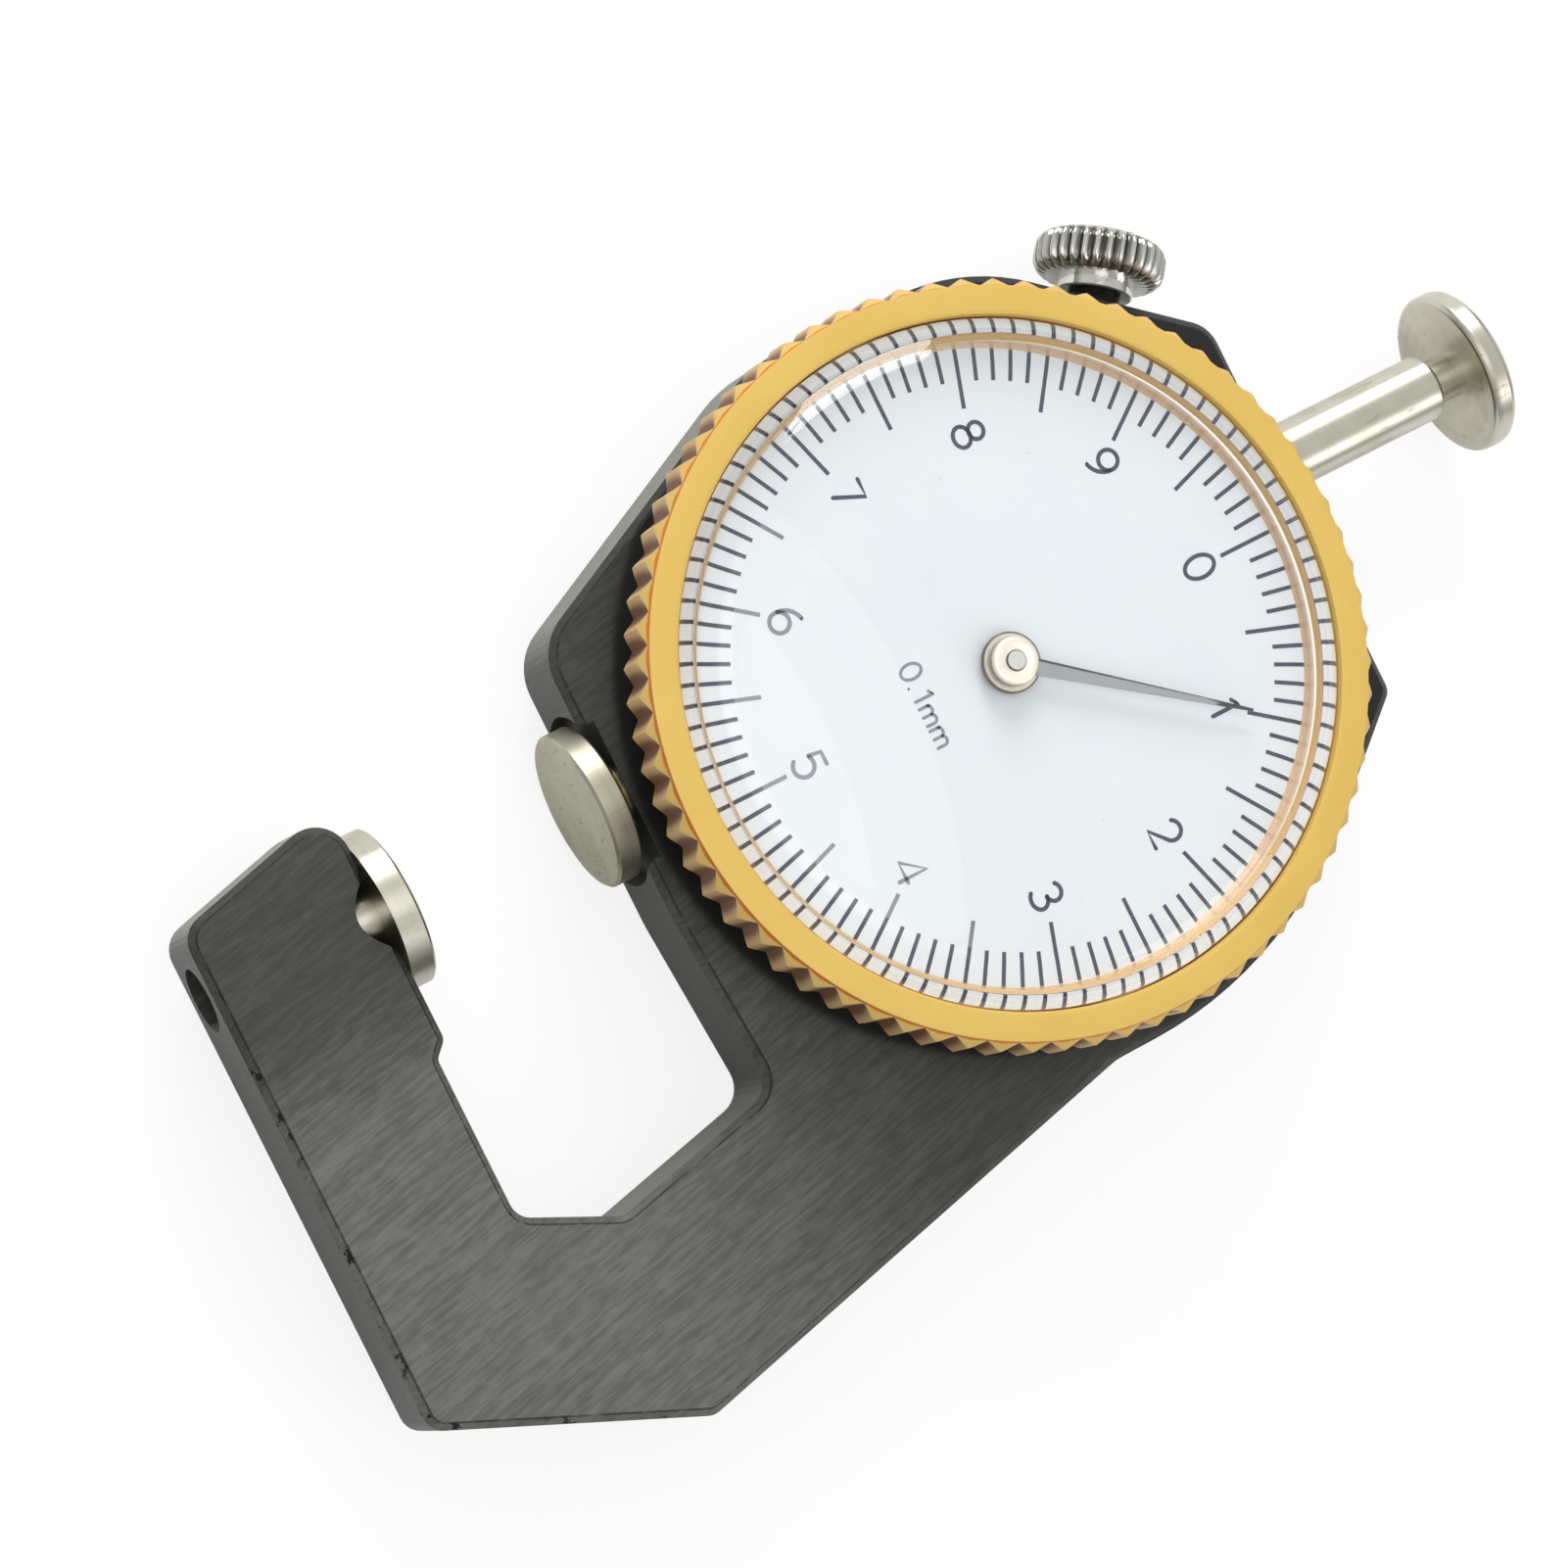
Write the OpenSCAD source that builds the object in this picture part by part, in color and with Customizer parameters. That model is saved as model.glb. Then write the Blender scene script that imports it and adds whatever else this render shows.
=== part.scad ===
// Dial thickness gauge with a C-shaped frame, a rising spindle and a rotating dial rim.
// Lengths are millimetres. +Z points out of the dial and +Y to the thumb head. The origin
// lies under the dial pivot, on the plane of the back cover's outer face.

/* [Frame] */
// Thickness of the frame plate
frame_t = 6; // [5.6:0.2:7]
// Bevel along the front and back edges of the frame
frame_bevel = 0.45; // [0.2:0.05:0.55]
// Wall between the raised ring and the frame's top edge
top_wall = 2.2; // [1.9:0.1:4]
// Wall between the raised ring and the upper left shoulder
left_shoulder_wall = 2.85; // [2.5:0.05:3.6]
// Direction that the upper left shoulder faces, which the lock screw shares
left_shoulder_turn = 142.5; // [140:0.5:146]
// Wall between the raised ring and the left edge
left_wall = 1; // [0.7:0.1:2.2]
// Wall between the raised ring and the lower left cheek
cheek_wall = 0.58; // [0.5:0.02:1.6]
// Direction that the lower left cheek faces
cheek_turn = 206; // [200:1:212]
// Wall between the raised ring and the throat's roof, on the measuring side
roof_wall = 2.03; // [1.8:0.01:2.3]
// Wall between the raised ring and the roof's inner stretch
roof_slope_wall = 2.24; // [2.1:0.01:2.4]
// Direction that the roof's inner stretch faces
roof_slope_turn = 273.7; // [272.8:0.1:274.5]
// Reach of the throat, from the spindle axis to its back wall at the height of the roof
throat_reach = 17.64; // [15:0.02:19]
// Direction that the throat's back wall faces
throat_turn = 192.2; // [188:0.2:194]
// Reach of the throat's lower back wall, from the spindle axis to its foot
heel_reach = 17.2; // [16:0.1:18]
// Direction that the throat's lower back wall faces
throat_heel_turn = 153.9; // [152:0.1:156]
// Height of the step between the arm's inner edge and the anvil seat
seat_step = 0.8; // [0.6:0.05:1]
// Left end of that step, measured to the right of the spindle axis
seat_reach = 7.3; // [6:0.1:9]
// Reach of the arm beyond the spindle axis, at the height of the anvil seat
arm_reach = 6.11; // [5.9:0.01:8]
// Direction that the arm's end faces
arm_end_turn = 194.3; // [190:0.1:196]
// Depth of the arm below the anvil seat
arm_t = 9.85; // [9:0.05:12]
// Distance from the spindle axis to the lower right edge, at the bottom of the arm
tail_reach = 24.76; // [24:0.02:27]
// Direction that the lower right edge faces
tail_turn = 335.3; // [333:0.1:337]
// Wall between the raised ring and the spine's outer edge
spine_wall = 1.35; // [1.2:0.05:2.7]
// Direction that the spine's outer edge faces
spine_turn = 12.35; // [11:0.05:13]
// Wall between the raised ring and the right edge
right_wall = 2.4; // [1.9:0.1:3.1]
// Wall between the raised ring and the upper right shoulder
right_shoulder_wall = 2.94; // [2.7:0.02:3.7]
// Direction that the upper right shoulder faces
right_shoulder_turn = 40.2; // [38:0.2:43]

/* [Movement housing] */
// How far the dial rim stands out beyond the raised ring that carries it
boss_inset = 1.3; // [1.2:0.05:1.6]
// Wall of the raised ring, outside the bore that the dial rim turns in
boss_wall = 1.3; // [1.2:0.05:1.4]
// Width of the shelf between that bore and the cavity of the movement
shelf_w = 2.4; // [2.2:0.1:2.8]
// Height of the raised ring above the frame
boss_h = 2.4; // [2.2:0.1:2.5]
// Depth of the movement plate's seat below the front of the frame
plate_seat = 0.4; // [0.2:0.1:0.6]
// Thickness of the movement plate
plate_t = 0.8; // [0.6:0.1:1]
// Distance of the movement plate's screws inside the bore of the dial rim
plate_screw_inset = 1.2; // [1.1:0.05:1.25]
// Thickness of the back cover
cover_t = 2.1; // [2:0.1:3]
// Distance of the back cover's edge inside the raised ring's outside
cover_inset = 0.4; // [0:0.1:0.7]
// Distance of the back cover's screws inside its edge
cover_screw_inset = 1.85; // [1.8:0.05:1.95]
// Radius of the small screws' shanks
screw_r = 0.7; // [0.5:0.05:0.75]

/* [Spindle] */
// Distance of the spindle axis to the left of the pivot
spindle_side = 3.1; // [3:0.02:3.2]
// Radius of the spindle
rod_r = 1.9; // [1.85:0.05:2]
// Running clearance around the spindle and the other turning or sliding pieces
running_fit = 0.05; // [0.03:0.01:0.08]
// Photographed opening between the measuring faces
opening = 11; // [9:0.5:11.5]
// How far the moving measuring face stands below the throat's roof
face_proud = 1.37; // [1.2:0.01:1.6]
// Spare lift above the photographed opening
spare_lift = 0.5; // [0.3:0.1:0.5]
// Radius of the measuring discs
anvil_r = 4.4; // [4:0.1:4.7]
// Thickness of the measuring discs
anvil_t = 1.5; // [1.2:0.05:1.6]
// Bevel on the edges of the measuring discs
anvil_bevel = 0.15; // [0.05:0.05:0.25]
// Clearance around the moving disc in its recess
recess_gap = 0.55; // [0.3:0.05:0.7]
// Gap between the frame and the thumb head when the measuring faces meet
head_gap = 2; // [1.7:0.1:6]
// Radius of the thumb head
head_r = 4.72; // [4:0.02:4.9]
// Thickness of the thumb head
head_t = 2.2; // [2:0.1:3]
// Radius of the neck under the thumb head
neck_r = 1.3; // [1:0.05:1.5]
// Length of the neck under the thumb head
neck_l = 1.3; // [1:0.1:2]
// Wall of the guide bushes
bush_wall = 0.55; // [0.4:0.05:0.6]
// Length of the guide bushes
bush_l = 5.4; // [4.5:0.1:5.6]

/* [Fixed anvil] */
// Radius of the anvil's stem and its bore
stem_r = 1.8; // [1.5:0.05:2]
// Length of the anvil's stem
stem_l = 5.8; // [4.5:0.1:6.2]
// Radius of the countersink at the anvil seat
sink_r = 3.72; // [3.2:0.02:4]
// Depth of that countersink
sink_depth = 3.75; // [2.5:0.05:4.5]
// Length of the screw that locks the anvil's stem
anvil_screw_l = 2; // [1.5:0.1:2.5]

/* [Gearing] */
// Teeth on the pinion
pinion_teeth = 16; // [15:1:18]
// Length of rack that passes in one turn of the pinion
turn_length = 10; // [9.5:0.5:10.5]
// Height of a tooth above the pitch line, in modules
addendum = 0.9; // [0.7:0.05:1]
// Depth of a tooth below the pitch line, in modules
dedendum = 1.25; // [1.15:0.05:1.35]
// Play between the flanks of a tooth and its gap
flank_play = 0.06; // [0.04:0.01:0.08]
// Width of the pinion
pinion_w = 2.4; // [2:0.1:2.8]
// Radius of the arbor under the pinion
arbor_r = 0.9; // [0.7:0.05:1]
// Turns of the hairspring
hair_turns = 5; // [3:1:6]
// Outer radius of the hairspring
hair_r = 5.6; // [4:0.1:6]

/* [Return spring] */
// Gap between the spindle and the coils of the return spring
spring_gap = 0.6; // [0.4:0.05:0.9]
// Mean radius of the coils
coil_r = 0.9; // [0.7:0.05:1]
// Radius of the wire
wire_r = 0.15; // [0.1:0.01:0.18]
// Number of coils
coils = 18; // [10:1:20]
// Gap between the spring's lower eye and the wall of the cavity
eye_wall_gap = 0.2; // [0.1:0.05:0.5]
// Height of the guide pin above the pivot
pin_y = 5; // [4.5:0.1:5.2]
// Radius of the guide pin and the spring post
pin_r = 0.6; // [0.5:0.02:0.7]
// Gap between the coils and the guide block beside them
block_gap = 0.4; // [0.3:0.05:0.6]
// Gap between the guide block's corners and the wall of the cavity
block_wall_gap = 0.4; // [0.3:0.05:0.6]

/* [Dial] */
// Height of the dial's printed face
dial_z = 12; // [12:0.1:12.3]
// Thickness of the dial plate
dial_t = 0.4; // [0.3:0.05:0.5]
// Radius of the dial rim over the crests of its grip, which the housing follows
rim_r = 20.6; // [18.5:0.1:23]
// Width of the bevelled band round the rim's flat front ring
rim_bevel_w = 0.5; // [0.4:0.05:0.7]
// Width of that flat front ring
rim_face_w = 1.6; // [1.4:0.05:1.7]
// Height of the rim's front ring above the dial
rim_rise = 2; // [1.8:0.1:2.2]
// Number of grooves in the grip
grip_count = 72; // [48:4:90]
// Depth of the grooves in the grip
grip_depth = 0.33; // [0.2:0.01:0.4]
// Thickness of the rim's skirt
skirt_t = 0.7; // [0.6:0.05:0.9]
// Radius of the wire ring that holds the rim
snap_r = 0.3; // [0.2:0.02:0.32]
// Thickness of the crystal's wall
crystal_t = 1.25; // [1:0.05:1.4]
// Height of the crystal's crown above the dial
crystal_h = 3.8; // [3.5:0.1:4.5]
// Radius of the crystal's rounded shoulder
crystal_round = 1.2; // [0.9:0.1:1.5]

/* [Hand] */
// Gap between the dial and the underside of the hand's hub
hub_gap = 0.45; // [0.3:0.05:0.6]
// Radius of the hub's lower flange
hub_r = 1.65; // [1.5:0.05:1.9]
// Radius of the hub's cap
cap_r = 1.28; // [1.1:0.02:1.4]
// Height of the hub
hub_h = 1; // [0.9:0.05:1.1]
// Length of the hand from the pivot to its tip
hand_l = 13.3; // [12:0.1:16]
// Width of the hand where it leaves the hub
hand_w = 0.9; // [0.6:0.05:1.2]
// Thickness of the hand
hand_t = 0.15; // [0.1:0.05:0.2]

/* [Lock screw] */
// Distance of the lock screw from the middle of the shoulder
lock_side = 4.08; // [3.8:0.02:4.3]
// Radius of the lock screw's threaded shank
lock_r = 1.45; // [1.2:0.05:1.6]
// Radius of the fluted knob
knob_r = 3.72; // [3:0.02:4.5]
// Length of the fluted knob
knob_l = 2.1; // [1.9:0.1:3]
// Gap between the shoulder and the knob when the spindle is locked
knob_gap = 1.7; // [1.2:0.1:3]
// Number of flutes on the knob
knob_flutes = 32; // [20:2:40]
// Depth of the flutes on the knob
flute_depth = 0.22; // [0.1:0.02:0.3]
// Radius of the brass pad that presses on the spindle
pad_r = 1.1; // [0.9:0.05:1.2]

/* [Hidden] */

// Fineness of round faces, of bent wire and of small corners
ROUND = 96;
SMALL_ROUND = 48;
CORNER_SAG = 0.01;
// How far a cutting shape runs past the face that it cuts
PAST = 1;
// Turns that put a shape along another axis
ALONG_Y = [-90, 0, 0];
HALF_TURN = 180;
FULL_TURN = 360;

// Heights in the stack, from the rest plane up
frame_z0 = cover_t;
frame_z1 = frame_z0 + frame_t;
axis_z = frame_z0 + frame_t / 2;
boss_z = frame_z1 + boss_h;
plate_z0 = frame_z1 - plate_seat;
plate_z1 = plate_z0 + plate_t;
gasket_t = 0.3;
dial_z0 = dial_z - dial_t;
ledge_z = dial_z0 - gasket_t;
rim_z1 = dial_z + rim_rise;
rim_gap = 0.25;
rim_z0 = boss_z + rim_gap;

// Radii of the housing, from the dial rim inwards
rim_flat_r = rim_r - rim_bevel_w;
rim_open_r = rim_flat_r - rim_face_w;
boss_r = rim_r - boss_inset;
rim_bore_r = boss_r - boss_wall;
cavity_r = rim_bore_r - shelf_w;
plate_screw_circle = rim_bore_r - plate_screw_inset;
cover_r = boss_r - cover_inset;
cover_screw_circle = cover_r - cover_screw_inset;

// Distances of the housing's straight sides from the pivot
top_y = boss_r + top_wall;
roof_y = boss_r + roof_wall;
left_shoulder = boss_r + left_shoulder_wall;

// Places along the spindle, as heights above the pivot
spindle_x = -spindle_side;
moving_face = -roof_y - face_proud;
fixed_face = opening - moving_face;
head_y = top_y + opening + head_gap;
disc_back = moving_face + anvil_t;
seat_y = fixed_face + anvil_t;
socket_depth = anvil_t / 2;
lift_spare = 0.2;
recess_floor = disc_back + spare_lift + lift_spare;
recess_r = anvil_r + recess_gap;
bush_r = rod_r + running_fit + bush_wall;
arm_y = seat_y + arm_t;

// Gearing: the rack's pitch line is tangent to the pinion's pitch circle
pitch_r = turn_length / (2 * PI);
module_size = 2 * pitch_r / pinion_teeth;
tooth_pitch = turn_length / pinion_teeth;
pressure_angle = 20;
base_r = pitch_r * cos(pressure_angle);
tip_r = pitch_r + addendum * module_size;
root_r = pitch_r - dedendum * module_size;
rack_margin = 2.5;
rack_low = -ceil((spare_lift + rack_margin) / tooth_pitch);
rack_high = ceil((opening + rack_margin) / tooth_pitch);

// Corner radii of the frame, each after the side of the same name
top_left_round = 2;
left_shoulder_round = 12;
left_round = 8;
cheek_round = 3.2;
roof_bend = 8;
roof_round = 1.6;
throat_round = 1.2;
heel_round = 1.2;
floor_round = 0.4;
ramp_round = 0.6;
seat_round = 1.9;
arm_end_round = 1.5;
arm_round = 1.2;
tail_round = 1;
spine_round = 3;
right_round = 24;
right_shoulder_round = 0.8;
ramp_turn = 45;
step_y = seat_y + seat_step;

// Distance from the pivot, along a direction, of a side through a point given from the spindle axis
function through(turn, reach, y) = (spindle_x + reach) * cos(turn) + y * sin(turn);

// Sides of the frame, anticlockwise from the top: the direction that each one faces, its
// distance from the pivot along that direction, and the radius of the corner after it
SIDES = [
    [90, top_y, top_left_round],
    [left_shoulder_turn, left_shoulder, left_shoulder_round],
    [180, boss_r + left_wall, left_round],
    [cheek_turn, boss_r + cheek_wall, cheek_round],
    [270, roof_y, roof_bend],
    [roof_slope_turn, boss_r + roof_slope_wall, roof_round],
    [throat_turn, through(throat_turn, throat_reach, -roof_y), throat_round],
    [throat_heel_turn, through(throat_heel_turn, heel_reach, -step_y), heel_round],
    [90, -step_y, floor_round],
    [ramp_turn, through(ramp_turn, seat_reach, -seat_y), ramp_round],
    [90, -seat_y, seat_round],
    [arm_end_turn, through(arm_end_turn, -arm_reach, -seat_y), arm_end_round],
    [270, arm_y, arm_round],
    [tail_turn, through(tail_turn, tail_reach, -arm_y), tail_round],
    [spine_turn, boss_r + spine_wall, spine_round],
    [0, boss_r + right_wall, right_round],
    [right_shoulder_turn, boss_r + right_shoulder_wall, right_shoulder_round]
];

// Point where two sides meet, each given as [direction, distance]
function crossing(a, b) =
    let (d = sin(b[0] - a[0]))
    [(a[1] * sin(b[0]) - b[1] * sin(a[0])) / d, (b[1] * cos(a[0]) - a[1] * cos(b[0])) / d];

// Angle from one direction to the next, between -180 and 180 degrees
function turn_between(a, b) = (b - a + FULL_TURN + HALF_TURN) % FULL_TURN - HALF_TURN;

// Points of the rounded corner between two sides, moved inwards by inset
function corner(a, b, inset) =
    let (
        turn = turn_between(a[0], b[0]),
        bulge = turn > 0 ? a[2] : -a[2],
        centre = crossing([a[0], a[1] - bulge], [b[0], b[1] - bulge]),
        steps = ceil(abs(turn) / (2 * acos(1 - CORNER_SAG / a[2])))
    )
    [for (k = [0:steps]) let (t = a[0] + turn * k / steps) centre + (bulge - inset) * [cos(t), sin(t)]];

// Outline of the frame, moved inwards by inset
function outline(inset) =
    [for (i = [0:len(SIDES) - 1]) each corner(SIDES[i], SIDES[(i + 1) % len(SIDES)], inset)];

// Twice the area of a triangle, positive where its corners run anticlockwise
function area2(a, b, c) = (b[0] - a[0]) * (c[1] - a[1]) - (b[1] - a[1]) * (c[0] - a[0]);

// True where point p lies in an anticlockwise triangle
function holds(a, b, c, p) = area2(a, b, p) >= 0 && area2(b, c, p) >= 0 && area2(c, a, p) >= 0;

// True where corner i of a ring can be cut off as a triangle that holds no other corner
function is_ear(points, ring, i) =
    let (
        n = len(ring),
        a = ring[(i + n - 1) % n],
        b = ring[i % n],
        c = ring[(i + 1) % n],
        pa = points[a],
        pb = points[b],
        pc = points[c],
        others = [for (j = ring) if (j != a && j != b && j != c && holds(pa, pb, pc, points[j])) j]
    )
    area2(pa, pb, pc) > 0 && len(others) == 0;

// The next corner at or after i that can be cut off, looked for in one round
function next_ear(points, ring, i, left) =
    left == 0 || is_ear(points, ring, i) ? i % len(ring) : next_ear(points, ring, i + 1, left - 1);

// Triangles that fill a flat ring of points, cut off one corner at a time
function filled(points, ring, start) =
    len(ring) == 3 ? [ring] :
    let (n = len(ring), i = next_ear(points, ring, start, n))
    concat(
        [[ring[(i + n - 1) % n], ring[i], ring[(i + 1) % n]]],
        filled(points, [for (k = [0:n - 1]) if (k != i) ring[k]], i + 1)
    );

// Solid through closed rings of equal length. The triangles of cap close each end.
module skin(rings, cap) {
    n = len(rings[0]);
    last = (len(rings) - 1) * n;
    polyhedron(
        points = [for (ring = rings) each ring],
        faces = concat(
            cap,
            [for (t = cap) [last + t[2], last + t[1], last + t[0]]],
            [for (k = [0:len(rings) - 2]) for (i = [0:n - 1]) let (a = k * n + i, b = k * n + (i + 1) % n)
                each [[a, a + n, b + n], [a, b + n, b]]]
        ),
        convexity = 8
    );
}

// Flat ring of points lifted to a height
function lifted(points, z) = [for (p = points) [p[0], p[1], z]];

// Unit vector
function unit(v) = v / norm(v);

// Direction of travel at point i of an open path
function heading(path, i) = unit(path[min(i + 1, len(path) - 1)] - path[max(i - 1, 0)]);

// Sideways vectors along a path, each carried over from the one before
function carried(path, i, side) =
    i == len(path) ? [] :
    let (t = heading(path, i), s = unit(side - (side * t) * t))
    concat([s], carried(path, i + 1, s));

// Round wire along an open path
module wire(path, radius, sides, first_side) {
    across = carried(path, 0, first_side);
    rings = [for (i = [0:len(path) - 1]) let (s = across[i], u = cross(heading(path, i), s))
        [for (k = [0:sides - 1]) let (a = -FULL_TURN * k / sides)
            path[i] + radius * (cos(a) * s + sin(a) * u)]];
    skin(rings, [for (k = [1:sides - 2]) [0, k, k + 1]]);
}

// Ring or tube standing on the XY plane
module tube(outer, inner, height) {
    difference() {
        cylinder(r = outer, h = height, $fn = ROUND);
        translate([0, 0, -PAST]) cylinder(r = inner, h = height + 2 * PAST, $fn = ROUND);
    }
}

// Countersunk slotted screw with its head on the XY plane and its shank down -Z
module countersunk(shank_r, length) {
    head_r = 2 * shank_r;
    slot_w = shank_r / 2;
    difference() {
        union() {
            translate([0, 0, -length]) cylinder(r = shank_r, h = length, $fn = SMALL_ROUND);
            translate([0, 0, -shank_r]) cylinder(r1 = shank_r, r2 = head_r, h = shank_r, $fn = SMALL_ROUND);
        }
        translate([-head_r, -slot_w / 2, -slot_w]) cube([2 * head_r, slot_w, slot_w + PAST]);
    }
}

// The space that such a screw fills, with its head's plane extended outwards
module countersunk_hole(shank_r, length) {
    head_r = 2 * shank_r;
    translate([0, 0, -length]) cylinder(r = shank_r, h = length, $fn = SMALL_ROUND);
    translate([0, 0, -shank_r]) cylinder(r1 = shank_r, r2 = head_r, h = shank_r, $fn = SMALL_ROUND);
    cylinder(r = head_r, h = PAST, $fn = SMALL_ROUND);
}

// Puts a shape that stands on +Z onto the spindle axis at height y, pointing to the thumb head
module on_spindle(y) {
    translate([spindle_x, y, axis_z]) rotate(ALONG_Y) children();
}

// Puts a shape that stands on +Z onto the lock screw's axis, pointing outwards
module on_lock(distance) {
    translate([
        distance * cos(lock_turn) + lock_side * sin(lock_turn),
        distance * sin(lock_turn) - lock_side * cos(lock_turn),
        axis_z
    ]) rotate([0, 90, lock_turn]) children();
}

// Screw places
plate_screw_turns = [0, 200, 300];
cover_screw_turns = [30, 165, 230, 325];
screw_l = 4;

module at_turns(turns, radius, z) {
    for (t = turns) rotate(t) translate([radius, 0, z]) children();
}

// The rim's wire ring sits half in the skirt and half in the housing
snap_fit = 0.05;
snap_rise = 1.2;
skirt_lip = 0.25;
snap_z = frame_z1 + snap_rise;
skirt_r = rim_bore_r - 2 * running_fit;
snap_centre = skirt_r + snap_fit;
snap_slot = snap_r + snap_fit;
snap_groove_r = snap_centre + snap_r + 3 * snap_fit;
skirt_z0 = snap_z - snap_slot - skirt_lip;

module frame() {
    edge = outline(0);
    face = outline(frame_bevel);
    face_ring = [for (i = [0:len(face) - 1]) i];
    color([0.33, 0.35, 0.34]) difference() {
        union() {
            skin([
                lifted(face, frame_z0),
                lifted(edge, frame_z0 + frame_bevel),
                lifted(edge, frame_z1 - frame_bevel),
                lifted(face, frame_z1)
            ], filled(face, face_ring, 0));
            translate([0, 0, axis_z]) cylinder(r = boss_r, h = boss_z - axis_z, $fn = ROUND);
        }
        // Movement cavity, movement plate's seat and the groove of the wire ring
        translate([0, 0, frame_z0 - PAST]) cylinder(r = cavity_r, h = frame_t + boss_h, $fn = ROUND);
        translate([0, 0, plate_z0]) cylinder(r = rim_bore_r, h = boss_z, $fn = ROUND);
        translate([0, 0, snap_z - snap_slot])
            cylinder(r = snap_groove_r, h = 2 * snap_slot, $fn = ROUND);
        // Bores of the two guide bushes, and the recess of the moving disc
        on_spindle(0) cylinder(r = bush_r, h = top_y + PAST, $fn = ROUND);
        on_spindle(-roof_y - PAST) cylinder(r = bush_r, h = roof_y + PAST, $fn = ROUND);
        on_spindle(-roof_y - PAST) cylinder(r = recess_r, h = recess_floor + roof_y + PAST, $fn = ROUND);
        // Bore and countersink of the fixed anvil
        on_spindle(-arm_y - PAST) cylinder(r = stem_r, h = arm_t + 2 * PAST, $fn = ROUND);
        on_spindle(-seat_y - sink_depth) cylinder(r1 = stem_r, r2 = sink_r, h = sink_depth, $fn = ROUND);
        // Tapped hole of the lock screw
        on_lock(0) cylinder(r = lock_r + running_fit, h = left_shoulder + PAST, $fn = ROUND);
        // Screw holes of the movement plate and the back cover
        at_turns(plate_screw_turns, plate_screw_circle, plate_z1) countersunk_hole(screw_r, screw_l);
        at_turns(cover_screw_turns, cover_screw_circle, 0) mirror([0, 0, 1]) countersunk_hole(screw_r, screw_l);
    }
}

// Back cover, turned away from the dial, with the seat of the arbor's lower bush
lip_h = 0.5;
lip_r = cavity_r - 2 * running_fit;
cover_bevel = 0.3;
pivot_r = 0.4;
pivot_bush_r = 1.5;
pivot_floor = 0.8;
pivot_bush_z0 = pivot_floor;
pivot_bush_z1 = cover_t + lip_h;

module back_cover() {
    color([0.30, 0.32, 0.31]) difference() {
        rotate_extrude($fn = ROUND) polygon([
            [0, 0], [cover_r - cover_bevel, 0], [cover_r, cover_bevel], [cover_r, cover_t],
            [lip_r, cover_t], [lip_r, cover_t + lip_h], [0, cover_t + lip_h]
        ]);
        translate([0, 0, pivot_bush_z0]) cylinder(r = pivot_bush_r, h = cover_t + lip_h, $fn = ROUND);
        at_turns(cover_screw_turns, cover_screw_circle, 0) mirror([0, 0, 1]) countersunk_hole(screw_r, screw_l);
    }
}

module cover_screws() {
    color([0.75, 0.75, 0.72])
        at_turns(cover_screw_turns, cover_screw_circle, 0) mirror([0, 0, 1]) countersunk(screw_r, screw_l);
}

// Arbor heights, from the lower pivot to the tip that shows in the hub
pivot_gap = 0.2;
arbor_z0 = pivot_bush_z1 + pivot_gap;
journal_r = 0.7;
staff_r = 0.6;
bush_past = 0.4;
upper_bush_z0 = plate_z0 - bush_past;
upper_bush_z1 = plate_z1 + bush_past;
upper_bush_r = 1.6;
upper_flange_r = 2.1;
journal_z0 = upper_bush_z0 - pivot_gap;
tip_pin_r = 0.5;
hub_z0 = dial_z + hub_gap;
hub_z1 = hub_z0 + hub_h;
collet_r = 1.35;
collet_z0 = upper_bush_z1 + pivot_gap;
collet_h = 0.8;
hair_h = 0.5;
hair_w = 0.12;
hair_z0 = collet_z0 + (collet_h - hair_h) / 2;

module lower_pivot_bush() {
    pivot_depth = 1.4;
    color("goldenrod") translate([0, 0, pivot_bush_z0]) difference() {
        cylinder(r = pivot_bush_r, h = pivot_bush_z1 - pivot_bush_z0, $fn = ROUND);
        translate([0, 0, pivot_bush_z1 - pivot_bush_z0 - pivot_depth])
            cylinder(r = pivot_r + running_fit, h = pivot_depth + PAST, $fn = ROUND);
    }
}

module upper_pivot_bush() {
    bush_h = upper_bush_z1 - upper_bush_z0;
    color("goldenrod") difference() {
        union() {
            translate([0, 0, upper_bush_z0]) cylinder(r = upper_bush_r, h = bush_h, $fn = ROUND);
            translate([0, 0, plate_z1]) cylinder(r = upper_flange_r, h = upper_bush_z1 - plate_z1, $fn = ROUND);
        }
        translate([0, 0, upper_bush_z0 - PAST])
            cylinder(r = journal_r + running_fit, h = bush_h + 2 * PAST, $fn = ROUND);
    }
}

// Return spring beside the spindle, with its lower eye round a post near the cavity's wall
spring_x = spindle_x - rod_r - spring_gap - coil_r - wire_r;
eye_fit = 0.05;
eye_r = pin_r + wire_r + eye_fit;
post_circle = cavity_r - eye_wall_gap - eye_r - wire_r;
post_y = sqrt(pow(post_circle, 2) - pow(spring_x, 2));

// Guide block with the slot that keeps the rack facing the pinion
block_end = 2.4;
slot_gap = 0.3;
slot_y0 = pin_y - opening - pin_r - slot_gap;
slot_y1 = pin_y + spare_lift + pin_r + slot_gap;
block_y0 = slot_y0 - block_end;
block_y1 = slot_y1 + block_end;
block_reach = max(-block_y0, block_y1);
block_near = spring_x - coil_r - wire_r - block_gap;
block_far = -sqrt(pow(cavity_r - block_wall_gap, 2) - pow(block_reach, 2));
block_w = block_near - block_far;
block_drop = 1.8;
block_z0 = axis_z - block_drop;
guide_screw_r = 0.55;
guide_screw_l = 3.6;
guide_screw_x = (block_near + block_far) / 2;
guide_screw_ys = [block_y0 + block_end / 2, block_y1 - block_end / 2];

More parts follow.
